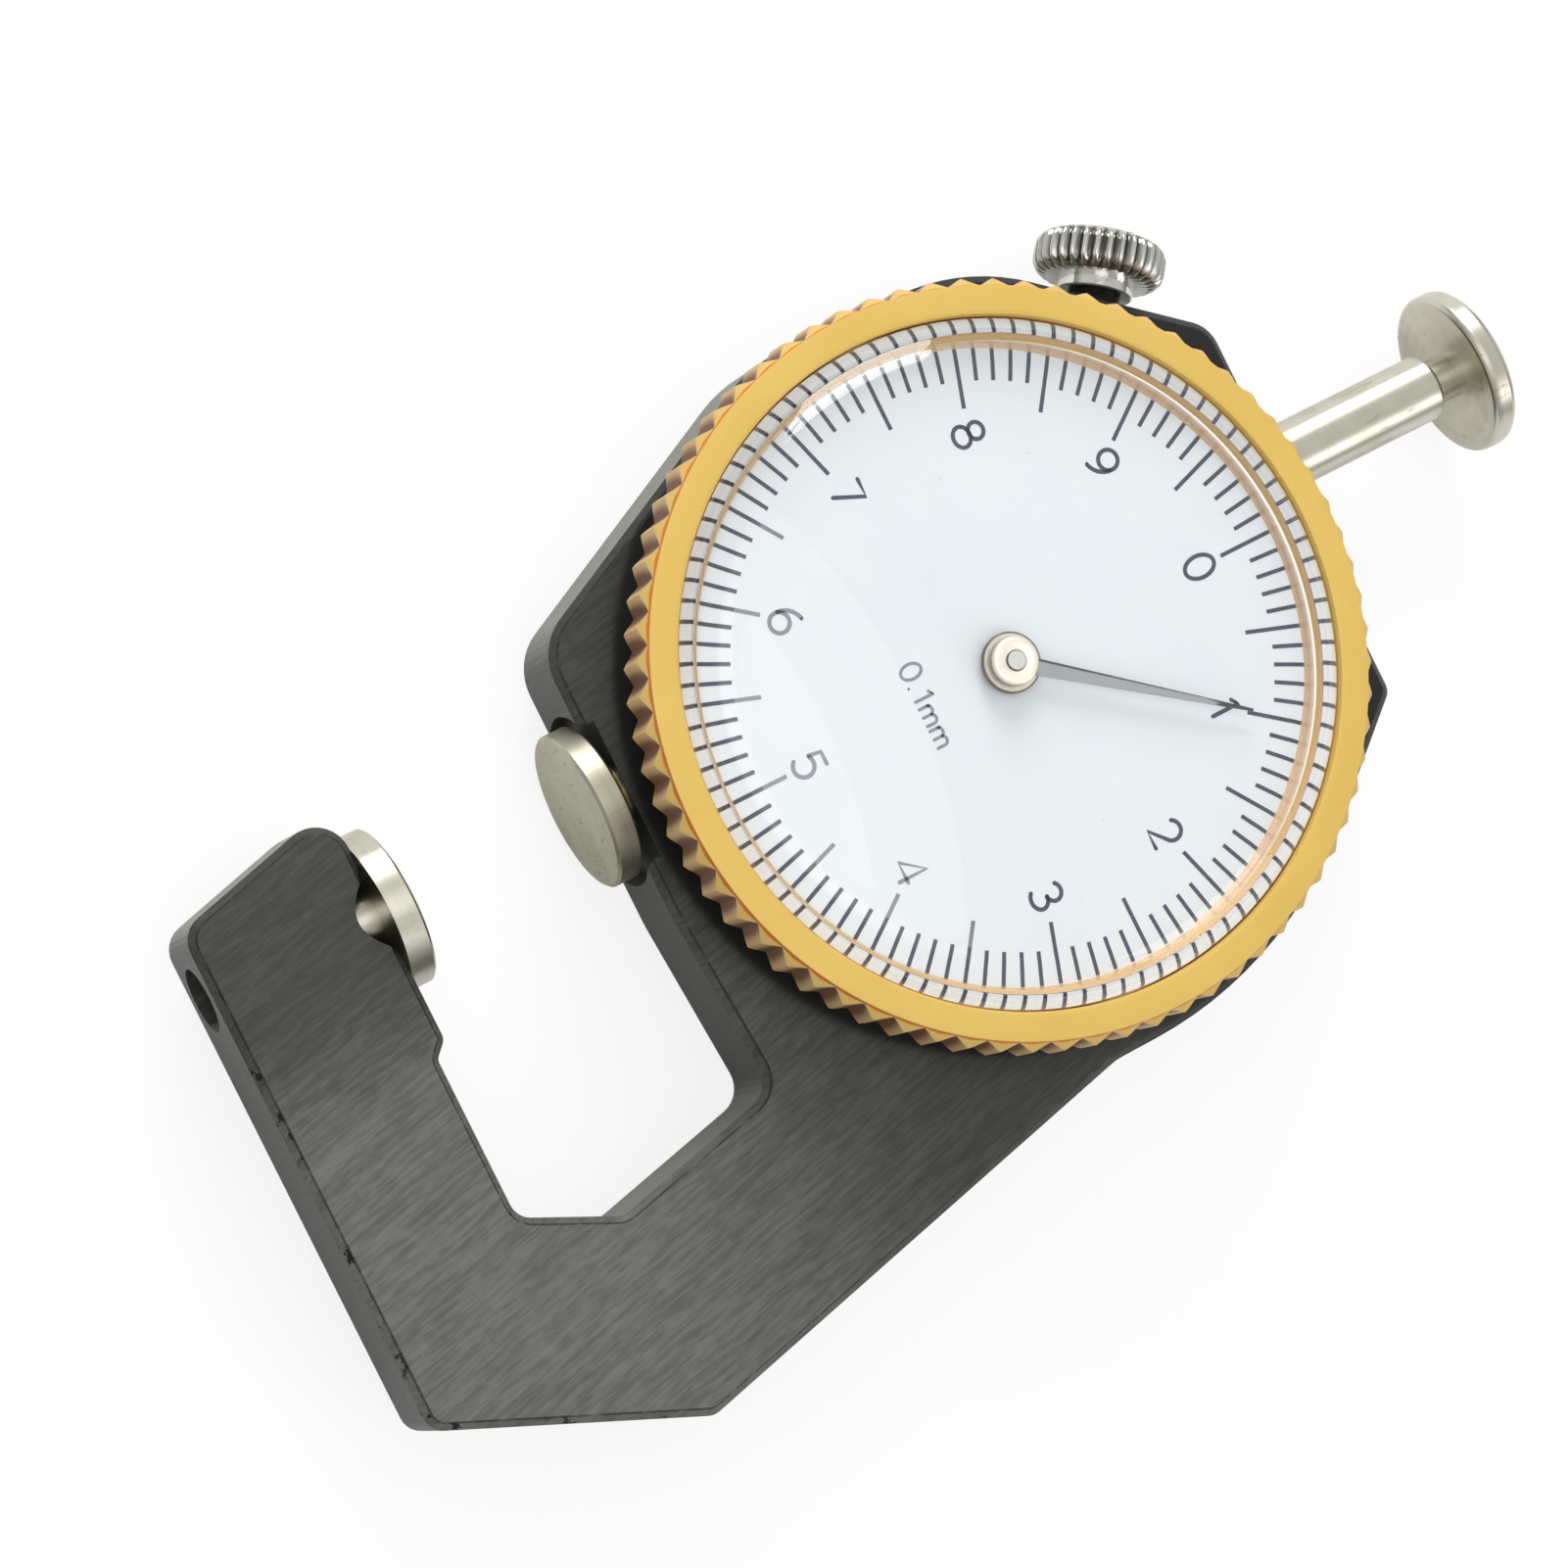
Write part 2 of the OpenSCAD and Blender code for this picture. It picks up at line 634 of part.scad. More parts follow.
module at_guide_screws() {
    for (y = guide_screw_ys) translate([guide_screw_x, y, plate_z1]) children();
}

module guide_block() {
    slot_r = pin_r + running_fit;
    color("silver") difference() {
        translate([block_far, block_y0, block_z0])
            cube([block_w, block_y1 - block_y0, plate_z0 - block_z0]);
        translate([block_far - PAST, slot_y0 + slot_r, axis_z - slot_r])
            cube([block_w + 2 * PAST, slot_y1 - slot_y0 - 2 * slot_r, 2 * slot_r]);
        for (y = [slot_y0 + slot_r, slot_y1 - slot_r])
            translate([block_far - PAST, y, axis_z]) rotate([0, 90, 0])
                cylinder(r = slot_r, h = block_w + 2 * PAST, $fn = SMALL_ROUND);
        at_guide_screws() countersunk_hole(guide_screw_r, guide_screw_l);
    }
}

module guide_screws() {
    color([0.75, 0.75, 0.72]) at_guide_screws() countersunk(guide_screw_r, guide_screw_l);
}

// Stud that the hairspring hangs on
stud_r = 0.45;
stud_gap = 0.12;
stud_past = 0.2;
stud_turn = 25;
stud_circle = hair_r + hair_w / 2 + stud_gap + stud_r;
stud_z1 = hair_z0 + hair_h + stud_past;

module movement_plate() {
    plate_r = rim_bore_r - 2 * running_fit;
    hole_h = plate_t + 2 * PAST;
    color("gold") difference() {
        translate([0, 0, plate_z0]) cylinder(r = plate_r, h = plate_t, $fn = ROUND);
        translate([0, 0, plate_z0 - PAST]) cylinder(r = upper_bush_r, h = hole_h, $fn = ROUND);
        translate([spring_x, -post_y, plate_z0 - PAST]) cylinder(r = pin_r, h = hole_h, $fn = ROUND);
        at_turns([stud_turn], stud_circle, plate_z0 - PAST) cylinder(r = stud_r, h = hole_h, $fn = ROUND);
        at_turns(plate_screw_turns, plate_screw_circle, plate_z1) countersunk_hole(screw_r, screw_l);
        at_guide_screws() countersunk_hole(guide_screw_r, guide_screw_l);
    }
}

module plate_screws() {
    color([0.75, 0.75, 0.72])
        at_turns(plate_screw_turns, plate_screw_circle, plate_z1) countersunk(screw_r, screw_l);
}

module spring_post() {
    post_z0 = axis_z - 3 * pin_r;
    color("silver") translate([spring_x, -post_y, post_z0])
        cylinder(r = pin_r, h = plate_z1 - post_z0, $fn = SMALL_ROUND);
}

module hairspring_stud() {
    color("silver") at_turns([stud_turn], stud_circle, plate_z0)
        cylinder(r = stud_r, h = stud_z1 - plate_z0, $fn = SMALL_ROUND);
}

// Guide bushes of the spindle, pressed into the top and the bottom wall of the housing
module guide_bush(y0) {
    on_spindle(y0) tube(bush_r, rod_r + running_fit, bush_l);
}

module upper_guide_bush() {
    bush_proud = 0.3;
    color("goldenrod") guide_bush(top_y + bush_proud - bush_l);
}

module lower_guide_bush() {
    color("goldenrod") guide_bush(recess_floor);
}

// Fixed anvil with its stem, and the screw behind it
module fixed_anvil() {
    color([0.80, 0.79, 0.74]) {
        on_spindle(-seat_y) rotate_extrude($fn = ROUND) polygon([
            [0, -stem_l], [stem_r, -stem_l], [stem_r, 0], [anvil_r, 0],
            [anvil_r, anvil_t - anvil_bevel], [anvil_r - anvil_bevel, anvil_t], [0, anvil_t]
        ]);
    }
}

module anvil_lock_screw() {
    screw_gap = 0.1;
    socket_r = 0.9;
    color([0.25, 0.25, 0.26]) on_spindle(-seat_y - stem_l - screw_gap - anvil_screw_l) difference() {
        cylinder(r = stem_r, h = anvil_screw_l, $fn = ROUND);
        translate([0, 0, -PAST]) cylinder(r = socket_r, h = PAST + anvil_screw_l / 2, $fn = 6);
    }
}

// Depth below the spindle's middle at which the guide pin's hole ends
pin_depth = 0.6;

// Outline of the rack's gaps, drawn in the plane that holds the pivot and the spindle axis
function rack_gap(y) =
    let (
        mid = tooth_pitch / 4 + flank_play / 4,
        mouth = mid + addendum * module_size * tan(pressure_angle),
        bottom = mid - dedendum * module_size * tan(pressure_angle),
        x_tip = -pitch_r + addendum * module_size,
        x_root = -pitch_r - dedendum * module_size
    )
    [[x_tip, y - mouth], [x_root, y - bottom], [x_root, y + bottom], [x_tip, y + mouth]];

module spindle_rod() {
    rod_bevel = 0.3;
    rod_y0 = disc_back - socket_depth;
    rod_y1 = head_y - neck_l;
    spigot_end = head_y + head_t / 2;
    rack_y0 = (rack_low - 1 / 2) * tooth_pitch;
    rack_y1 = (rack_high + 1 / 2) * tooth_pitch;
    rack_top_x = -pitch_r + addendum * module_size;
    color([0.78, 0.77, 0.73]) difference() {
        on_spindle(rod_y0) rotate_extrude($fn = ROUND) polygon([
            [0, 0], [rod_r, 0], [rod_r, rod_y1 - rod_y0 - rod_bevel], [rod_r - rod_bevel, rod_y1 - rod_y0],
            [neck_r, rod_y1 - rod_y0], [neck_r, spigot_end - rod_y0], [0, spigot_end - rod_y0]
        ]);
        // The milled flat and the tooth gaps in one comb
        translate([0, 0, axis_z - 2 * rod_r]) linear_extrude(4 * rod_r) polygon(concat(
            [[rod_r, rack_y0], [rack_top_x, rack_y0]],
            [for (i = [rack_low:rack_high]) each rack_gap(i * tooth_pitch)],
            [[rack_top_x, rack_y1], [rod_r, rack_y1]]
        ));
        // Cross hole of the guide pin
        translate([spindle_x - pin_depth, pin_y, axis_z]) rotate([0, -90, 0])
            cylinder(r = pin_r, h = 2 * rod_r, $fn = SMALL_ROUND);
    }
}

module moving_anvil() {
    color([0.80, 0.79, 0.74]) on_spindle(moving_face) difference() {
        rotate_extrude($fn = ROUND) polygon([
            [0, 0], [anvil_r - anvil_bevel, 0], [anvil_r, anvil_bevel],
            [anvil_r, anvil_t - anvil_bevel], [anvil_r - anvil_bevel, anvil_t], [0, anvil_t]
        ]);
        translate([0, 0, anvil_t - socket_depth]) cylinder(r = rod_r, h = anvil_t, $fn = ROUND);
    }
}

// Thumb head: a flat underside, a rounded rim and a low dome
module thumb_head() {
    rim_round = 0.45;
    rim_h = 1.1;
    rim_steps = 5;
    dome_steps = 10;
    dome_h = head_t - rim_h;
    color([0.80, 0.79, 0.74]) on_spindle(head_y) difference() {
        rotate_extrude($fn = ROUND) polygon(concat(
            [[0, 0]],
            [for (k = [0:rim_steps]) let (t = -90 + 90 * k / rim_steps)
                [head_r - rim_round + rim_round * cos(t), rim_round + rim_round * sin(t)]],
            [for (k = [0:dome_steps]) let (t = 90 * k / dome_steps)
                [head_r * cos(t), rim_h + dome_h * sin(t)]]
        ));
        translate([0, 0, -PAST]) cylinder(r = neck_r, h = PAST + head_t / 2, $fn = ROUND);
    }
}

module guide_pin() {
    tip_inset = 0.4;
    pin_tip = block_far + tip_inset;
    color("silver") translate([spindle_x - pin_depth, pin_y, axis_z]) rotate([0, -90, 0])
        cylinder(r = pin_r, h = spindle_x - pin_depth - pin_tip, $fn = SMALL_ROUND);
}

// Return spring: an eye round the post, the coils along +Y and an eye round the guide pin
module return_spring() {
    rings_per_coil = 8;
    wire_sides = 6;
    eye_steps = 10;
    lead = 0.5;
    coil_y0 = -post_y + eye_r + lead;
    coil_y1 = pin_y - eye_r - lead;
    turns = coils + 0.25;
    rings = ceil(turns * rings_per_coil);
    post_eye = [for (k = [0:eye_steps]) let (t = 120 + 290 * k / eye_steps)
        [spring_x + eye_r * cos(t), -post_y + eye_r * sin(t), axis_z]];
    body = [for (k = [0:rings]) let (s = k / rings, t = FULL_TURN * turns * s)
        [spring_x + coil_r * cos(t), coil_y0 + (coil_y1 - coil_y0) * s, axis_z + coil_r * sin(t)]];
    pin_eye = [for (k = [0:eye_steps]) let (t = 130 - 250 * k / eye_steps)
        [spring_x, pin_y + eye_r * cos(t), axis_z + eye_r * sin(t)]];
    color([0.55, 0.56, 0.58]) wire(concat(post_eye, body, pin_eye), wire_r, wire_sides, [0, 0, 1]);
}

module centre_arbor() {
    pivot_l = 1.2;
    pivot_z0 = pivot_bush_z1 - pivot_l;
    pin_end = 0.08;
    color([0.75, 0.75, 0.72]) rotate_extrude($fn = SMALL_ROUND) polygon([
        [0, pivot_z0], [pivot_r, pivot_z0], [pivot_r, arbor_z0], [arbor_r, arbor_z0],
        [arbor_r, journal_z0], [journal_r, journal_z0], [journal_r, collet_z0], [staff_r, collet_z0],
        [staff_r, hub_z0], [tip_pin_r, hub_z0], [tip_pin_r, hub_z1 + pin_end], [0, hub_z1 + pin_end]
    ]);
}

// Involute of the angle whose cosine is the base radius over r, in degrees
function involute_turn(r) = let (a = acos(min(1, base_r / r))) tan(a) * HALF_TURN / PI - a;

// Half of the angle that a tooth takes up at radius r
function half_tooth(r) =
    let (at_pitch = HALF_TURN / 2 * (1 - flank_play / tooth_pitch) / pinion_teeth)
    at_pitch + involute_turn(pitch_r) - involute_turn(max(r, base_r));

module pinion() {
    flank_steps = 4;
    radii = concat([root_r], [for (k = [0:flank_steps]) base_r + (tip_r - base_r) * k / flank_steps]);
    function flank(r, turn) = r * [cos(turn), sin(turn)];
    color("goldenrod") translate([0, 0, axis_z - pinion_w / 2]) difference() {
        linear_extrude(pinion_w) polygon([for (i = [0:pinion_teeth - 1])
            let (mid = HALF_TURN + FULL_TURN * i / pinion_teeth)
            each concat(
                [for (r = radii) flank(r, mid - half_tooth(r))],
                [for (k = [len(radii) - 1:-1:0]) let (r = radii[k]) flank(r, mid + half_tooth(r))]
            )]);
        translate([0, 0, -PAST]) cylinder(r = arbor_r, h = pinion_w + 2 * PAST, $fn = SMALL_ROUND);
    }
}

module hairspring_collet() {
    color("goldenrod") translate([0, 0, collet_z0]) tube(collet_r, staff_r, collet_h);
}

// Hairspring: a flat spiral from the collet out to the stud
module hairspring() {
    steps_per_turn = 24;
    steps = hair_turns * steps_per_turn;
    start_r = collet_r + hair_w / 2;
    function on_spiral(k, side) =
        let (
            t = stud_turn + FULL_TURN * k / steps_per_turn,
            r = start_r + (hair_r - start_r) * k / steps + side * hair_w / 2
        )
        r * [cos(t), sin(t)];
    color([0.35, 0.4, 0.55]) translate([0, 0, hair_z0]) linear_extrude(hair_h) polygon(concat(
        [for (k = [0:steps]) on_spiral(k, 1)],
        [for (k = [steps:-1:0]) on_spiral(k, -1)]
    ));
}

// Hub: a flange under the hand and a cap over it
hand_seat_r = 0.85;
flange_h = 0.3;

module hand_hub() {
    cap_bevel = 0.12;
    color([0.90, 0.89, 0.84]) translate([0, 0, hub_z0]) rotate_extrude($fn = ROUND) polygon([
        [tip_pin_r, 0], [hub_r, 0], [hub_r, flange_h], [hand_seat_r, flange_h],
        [hand_seat_r, flange_h + hand_t], [cap_r, flange_h + hand_t], [cap_r, hub_h - cap_bevel],
        [cap_r - cap_bevel, hub_h], [tip_pin_r, hub_h]
    ]);
}

// Hand: a ring on the hub and a long taper that points at one tenth of a turn
hand_turn = 90 - FULL_TURN / 10;

module hand() {
    tip_w = 0.08;
    root_lap = 0.2;
    root_x = hand_seat_r + root_lap;
    color([0.45, 0.46, 0.48]) translate([0, 0, hub_z0 + flange_h]) difference() {
        union() {
            cylinder(r = cap_r, h = hand_t, $fn = ROUND);
            rotate(hand_turn) linear_extrude(hand_t) polygon([
                [root_x, -hand_w / 2], [hand_l, -tip_w / 2], [hand_l, tip_w / 2], [root_x, hand_w / 2]
            ]);
        }
        translate([0, 0, -PAST]) cylinder(r = hand_seat_r, h = hand_t + 2 * PAST, $fn = ROUND);
    }
}

// Outline with pointed crests at radius outer and count grooves of the given depth
module grooved(outer, depth, count) {
    polygon([for (k = [0:2 * count - 1])
        let (r = k % 2 == 0 ? outer : outer - depth, t = HALF_TURN * k / count)
        r * [cos(t), sin(t)]]);
}

// Dial rim: a flat front ring, a bevelled and grooved grip, a ledge and a skirt in the housing
module bezel() {
    bevel_drop = 0.3;
    bevel_slope = 1.2;
    blank_r = rim_r + grip_depth;
    skirt_in = skirt_r - skirt_t;
    color([0.91, 0.75, 0.38]) intersection() {
        rotate_extrude($fn = ROUND) polygon([
            [rim_open_r, rim_z1], [rim_open_r, ledge_z], [skirt_in, ledge_z],
            [skirt_in, skirt_z0], [skirt_r, skirt_z0],
            [skirt_r, snap_z - snap_slot], [snap_centre - snap_r, snap_z - snap_slot],
            [snap_centre - snap_r, snap_z + snap_slot], [skirt_r, snap_z + snap_slot],
            [skirt_r, rim_z0], [blank_r, rim_z0],
            [blank_r, rim_z1 - bevel_drop - bevel_slope * (blank_r - rim_flat_r)],
            [rim_flat_r, rim_z1 - bevel_drop], [rim_flat_r, rim_z1]
        ]);
        translate([0, 0, skirt_z0 - PAST]) linear_extrude(rim_z1 - skirt_z0 + 2 * PAST)
            grooved(rim_r, grip_depth, grip_count);
    }
}

// Crystal: an upright wall on the dial, a rounded shoulder and a low crown
module crystal() {
    wall_fit = 0.05;
    outer_r = rim_open_r - wall_fit;
    crown = 0.5;
    round_steps = 6;
    crown_steps = 8;
    shoulder_z = crystal_h - crown - crystal_round;
    // Wall, rounded shoulder and crown of one side, given its radius, its rounding and its drop
    function wall_profile(radius, rounding, drop) = concat(
        [[radius, 0]],
        [for (k = [0:round_steps]) let (t = 90 * k / round_steps)
            [radius - rounding * (1 - cos(t)), shoulder_z + crystal_round - drop - rounding * (1 - sin(t))]],
        [for (k = [crown_steps - 1:-1:0]) let (s = k / crown_steps)
            [(radius - rounding) * s, crystal_h - drop - crown * s * s]]
    );
    outside = wall_profile(outer_r, crystal_round, 0);
    inside = wall_profile(outer_r - crystal_t, crystal_round / 2, crystal_t);
    color([0.85, 0.92, 0.95, 0.35]) translate([0, 0, dial_z]) rotate_extrude($fn = ROUND)
        polygon(concat(outside, [for (k = [len(inside) - 1:-1:0]) inside[k]]));
}

module dial_plate() {
    dial_fit = 0.15;
    dial_hole_r = 1;
    color([0.90, 0.93, 0.95]) translate([0, 0, dial_z0]) tube(rim_open_r - dial_fit, dial_hole_r, dial_t);
}

module dial_gasket() {
    gasket_fit = 0.1;
    color([0.3, 0.28, 0.25]) translate([0, 0, ledge_z])
        tube(rim_open_r - gasket_fit, skirt_r - skirt_t, gasket_t);
}

// Sprung wire ring with a gap, round in section
module retaining_wire() {
    gap_angle = 14;
    wire_fineness = 24;
    color("silver") translate([0, 0, snap_z]) rotate(gap_angle / 2)
        rotate_extrude(angle = FULL_TURN - gap_angle, $fn = ROUND)
            translate([snap_centre, 0]) circle(r = snap_r, $fn = wire_fineness);
}

// Lock screw: the shank runs through the shoulder and its brass pad presses on the spindle
lock_turn = left_shoulder_turn;
knob_n = left_shoulder + knob_gap;
rod_n = (spindle_x - lock_side * sin(lock_turn)) / cos(lock_turn);
pad_gap = 0.03;
pad_n = rod_n - (rod_r + pad_r + pad_gap) / cos(lock_turn);
pad_l = 1.8;
nose_bore = 0.65;
nose_depth = 1.1;
collar_r = 2.1;
collar_h = 0.8;

module lock_pad() {
    color("goldenrod") on_lock(pad_n) difference() {
        union() {
            sphere(r = pad_r, $fn = ROUND);
            cylinder(r = pad_r, h = pad_l, $fn = ROUND);
        }
        translate([0, 0, pad_l - nose_depth]) cylinder(r = nose_bore, h = nose_depth + PAST, $fn = SMALL_ROUND);
    }
}

module lock_shank() {
    shank_n = pad_n + pad_l + running_fit;
    nose_end = pad_n + pad_l - nose_depth + running_fit;
    knob_socket = knob_l / 2;
    color([0.70, 0.70, 0.68]) {
        on_lock(0) rotate_extrude($fn = ROUND) polygon([
            [0, nose_end], [nose_bore - running_fit, nose_end], [nose_bore - running_fit, shank_n],
            [lock_r, shank_n], [lock_r, knob_n + knob_socket], [0, knob_n + knob_socket]
        ]);
    }
}

module lock_knob() {
    knob_round = 0.7;
    blank_r = knob_r + flute_depth;
    round_steps = 5;
    round_x = blank_r - knob_round;
    color([0.82, 0.82, 0.80]) on_lock(knob_n) difference() {
        union() {
            intersection() {
                rotate_extrude($fn = ROUND) polygon(concat(
                    [[0, 0]],
                    [for (k = [0:round_steps]) let (t = -90 + 90 * k / round_steps)
                        [round_x + knob_round * cos(t), knob_round * (1 + sin(t))]],
                    [for (k = [0:round_steps]) let (t = 90 * k / round_steps)
                        [round_x + knob_round * cos(t), knob_l - knob_round * (1 - sin(t))]],
                    [[0, knob_l]]
                ));
                translate([0, 0, -PAST]) linear_extrude(knob_l + 2 * PAST)
                    grooved(knob_r, flute_depth, knob_flutes);
            }
            translate([0, 0, -collar_h]) cylinder(r = collar_r, h = collar_h + knob_l / 2, $fn = ROUND);
        }
        translate([0, 0, -PAST]) cylinder(r = lock_r, h = PAST + knob_l / 2, $fn = ROUND);
    }
}

frame();
back_cover();
cover_screws();
movement_plate();
plate_screws();
upper_guide_bush();
lower_guide_bush();
lower_pivot_bush();
upper_pivot_bush();
guide_block();
guide_screws();
spring_post();
hairspring_stud();
fixed_anvil();
anvil_lock_screw();
spindle_rod();
moving_anvil();
thumb_head();
guide_pin();
return_spring();
centre_arbor();
pinion();
hairspring_collet();
hairspring();
hand_hub();
hand();
bezel();
crystal();
dial_plate();
dial_gasket();
retaining_wire();
lock_knob();
lock_shank();
lock_pad();
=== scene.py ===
"""Looks of a pocket dial thickness gauge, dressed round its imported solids.

The frame, the movement, the spindle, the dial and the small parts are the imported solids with
finishes of their own. The dial rim, the crystal, the hub, the hand, the lock knob and the return
spring are finer pieces that stand for plainer solids, and the dial's printing lies on the dial.
Sizes in the classes are millimetres, in the same frame as the solids, and metres for the lamps.
"""

import logging
import math
from dataclasses import dataclass, field
from enum import Enum
from typing import Any, Callable, Optional, Sequence, Union

import bmesh
import bpy
import numpy as np
from mathutils import Matrix


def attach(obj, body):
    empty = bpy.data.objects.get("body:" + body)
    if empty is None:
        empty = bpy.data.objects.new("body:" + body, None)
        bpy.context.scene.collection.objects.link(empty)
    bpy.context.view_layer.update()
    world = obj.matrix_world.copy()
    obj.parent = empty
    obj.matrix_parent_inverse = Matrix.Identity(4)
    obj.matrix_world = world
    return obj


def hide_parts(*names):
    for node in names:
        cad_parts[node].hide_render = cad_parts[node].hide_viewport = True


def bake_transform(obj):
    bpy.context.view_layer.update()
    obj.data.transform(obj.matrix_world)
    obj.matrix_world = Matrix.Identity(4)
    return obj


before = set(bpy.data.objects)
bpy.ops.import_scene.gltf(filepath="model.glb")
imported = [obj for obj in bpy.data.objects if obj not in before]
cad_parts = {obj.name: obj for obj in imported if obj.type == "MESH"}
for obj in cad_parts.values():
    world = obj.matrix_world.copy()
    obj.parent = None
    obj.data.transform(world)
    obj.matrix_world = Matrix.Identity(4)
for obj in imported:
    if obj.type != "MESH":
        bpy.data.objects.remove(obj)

MM = 0.001
MERGE = 2e-7  # metres within which two points of a piece become one
SLIVER = 1e-7  # metres below which an edge or a face is taken away
log = logging.getLogger("thickness_gauge")

Colour = tuple[float, float, float]
Point = tuple[float, float, float]


def tint(red: int, green: int, blue: int) -> Colour:
    """Returns the linear colour of a screen colour given as three numbers from 0 to 255."""
    return tuple(
        c / 12.92 if c <= 0.04045 else ((c + 0.055) / 1.055) ** 2.4
        for c in (red / 255, green / 255, blue / 255)
    )


def operator(operation: str, swapped: bool = False) -> Callable[["Value", Any], "Value"]:
    """Returns a method of Value for one operation, with its two terms changed over if swapped."""

    def method(self: "Value", other: Any) -> "Value":
        """Returns the result of the operation on self and the other term."""
        return self.result(operation, *((other, self) if swapped else (self, other)))

    return method


class Value:
    """A number on a shader socket, so that shader maths reads as an expression."""

    def __init__(self, graph: "Graph", socket: bpy.types.NodeSocket) -> None:
        """Keeps the graph that the value belongs to and the socket that carries it."""
        self.graph = graph
        self.socket = socket

    def result(self, operation: str, *terms: Any) -> "Value":
        """Returns the value of one Math node fed with the given terms."""
        node = self.graph.add("ShaderNodeMath", dict(enumerate(terms)), operation=operation)
        return Value(self.graph, node.outputs[0])

    __add__ = operator("ADD")
    __radd__ = operator("ADD", True)
    __sub__ = operator("SUBTRACT")
    __rsub__ = operator("SUBTRACT", True)
    __mul__ = operator("MULTIPLY")
    __truediv__ = operator("DIVIDE")

    def __abs__(self) -> "Value":
        """Returns the size of self without its sign."""
        return self.result("ABSOLUTE", self)

    def root(self) -> "Value":
        """Returns the square root of self."""
        return self.result("SQRT", self)

    def ramp(self, low: float, high: float) -> "Value":
        """Returns 0 below low, 1 above high and a smooth rise between them.

        Args:
            low: Value of self where the result is 0.
            high: Value of self where the result is 1. It may be the smaller one.

        Returns:
            The smooth step of self.
        """
        node = self.graph.add(
            "ShaderNodeMapRange",
            {"Value": self, "From Min": low, "From Max": high},
            interpolation_type="SMOOTHSTEP",
        )
        return Value(self.graph, node.outputs["Result"])


class Graph:
    """The node tree of one material or of the sky."""

    def __init__(self, name: str, sky: bool = False) -> None:
        """Makes an empty material, or an empty world for the sky, with its output node."""
        self.owner = bpy.data.worlds.new(name) if sky else bpy.data.materials.new(name)
        self.owner.use_nodes = True
        self.tree = self.owner.node_tree
        self.tree.nodes.clear()
        self.output = self.add("ShaderNodeOutputWorld" if sky else "ShaderNodeOutputMaterial")
        coordinates = self.add("ShaderNodeTexCoord")
        self.point = coordinates.outputs["Generated" if sky else "Object"]
        self.facing = coordinates.outputs["Normal"]

    def add(
        self, kind: str, inputs: Optional[dict[Union[str, int], Any]] = None, **settings: Any
    ) -> bpy.types.Node:
        """Adds a node.

        Args:
            kind: The node's type.
            inputs: Values or links of its sockets, by name or by number.
            settings: Properties of the node, which are set before its sockets.

        Returns:
            The new node.
        """
        node = self.tree.nodes.new(kind)
        for key, value in settings.items():
            setattr(node, key, value)
        for key, value in (inputs or {}).items():
            self.feed(node.inputs[key], value)
        return node

    def feed(self, socket: bpy.types.NodeSocket, value: Any) -> None:
        """Sets a socket to a value, or links it to a Value or to another socket."""
        source = value.socket if isinstance(value, Value) else value
        if isinstance(source, bpy.types.NodeSocket):
            self.tree.links.new(source, socket)
        else:
            socket.default_value = (*value[:3], 1.0) if socket.type == "RGBA" else value

    def axes(self, source: Optional[bpy.types.NodeSocket] = None) -> tuple[Value, Value, Value]:
        """Returns the three parts of a vector, which is the object's own point if none is given."""
        node = self.add("ShaderNodeSeparateXYZ", {0: source or self.point})
        return tuple(Value(self, node.outputs[k]) for k in range(3))

    def place(self, x: Any, y: Any, z: Any = 0.0) -> bpy.types.NodeSocket:
        """Returns the vector made of three numbers."""
        return self.add("ShaderNodeCombineXYZ", {0: x, 1: y, 2: z}).outputs[0]

    def noise(
        self,
        scale: float,
        detail: float = 3.0,
        vector: Optional[bpy.types.NodeSocket] = None,
        roughness: float = 0.5,
    ) -> Value:
        """Returns cloudy noise between 0 and 1 with the given number of waves a metre."""
        inputs = {"Scale": scale, "Detail": detail, "Roughness": roughness}
        node = self.add("ShaderNodeTexNoise", {"Vector": vector or self.point, **inputs})
        return Value(self, node.outputs[0])

    def cells(self, scale: float) -> Value:
        """Returns the distance from scattered points, in cells of the given number a metre."""
        node = self.add("ShaderNodeTexVoronoi", {"Vector": self.point, "Scale": scale})
        return Value(self, node.outputs["Distance"])

    def rays(self, *kinds: str) -> Value:
        """Returns 1 for a ray of any of the given kinds, such as Camera, and 0 for all others."""
        path = self.add("ShaderNodeLightPath")
        hits = [Value(self, path.outputs[f"Is {kind} Ray"]) for kind in kinds]
        return sum(hits[1:], hits[0]).ramp(0.0, 1.0) if len(hits) > 1 else hits[0]

    def blend(self, share: Any, first: Any, second: Any) -> bpy.types.NodeSocket:
        """Returns the colour that goes from first to second as share goes from 0 to 1."""
        node = self.add("ShaderNodeMix", {0: share, 6: first, 7: second}, data_type="RGBA")
        return node.outputs[2]

    def attribute(self, name: str) -> Value:
        """Returns a number that the mesh carries at its points."""
        node = self.add("ShaderNodeAttribute", attribute_name=name)
        return Value(self, node.outputs["Fac"])

    def bump(self, height: Value, depth: float, strength: float = 1.0) -> bpy.types.NodeSocket:
        """Returns a normal bent by a height between 0 and 1 that stands for depth millimetres."""
        inputs = {"Strength": strength, "Distance": depth * MM, "Height": height}
        return self.add("ShaderNodeBump", inputs).outputs[0]

    def close(self, **sockets: Any) -> bpy.types.Material:
        """Ends the graph in one Principled shader.

        Args:
            sockets: Values or links of the shader's sockets, with _ for a space in their names.

        Returns:
            The finished material.
        """
        inputs = {key.replace("_", " "): value for key, value in sockets.items()}
        return self.end(self.add("ShaderNodeBsdfPrincipled", inputs))

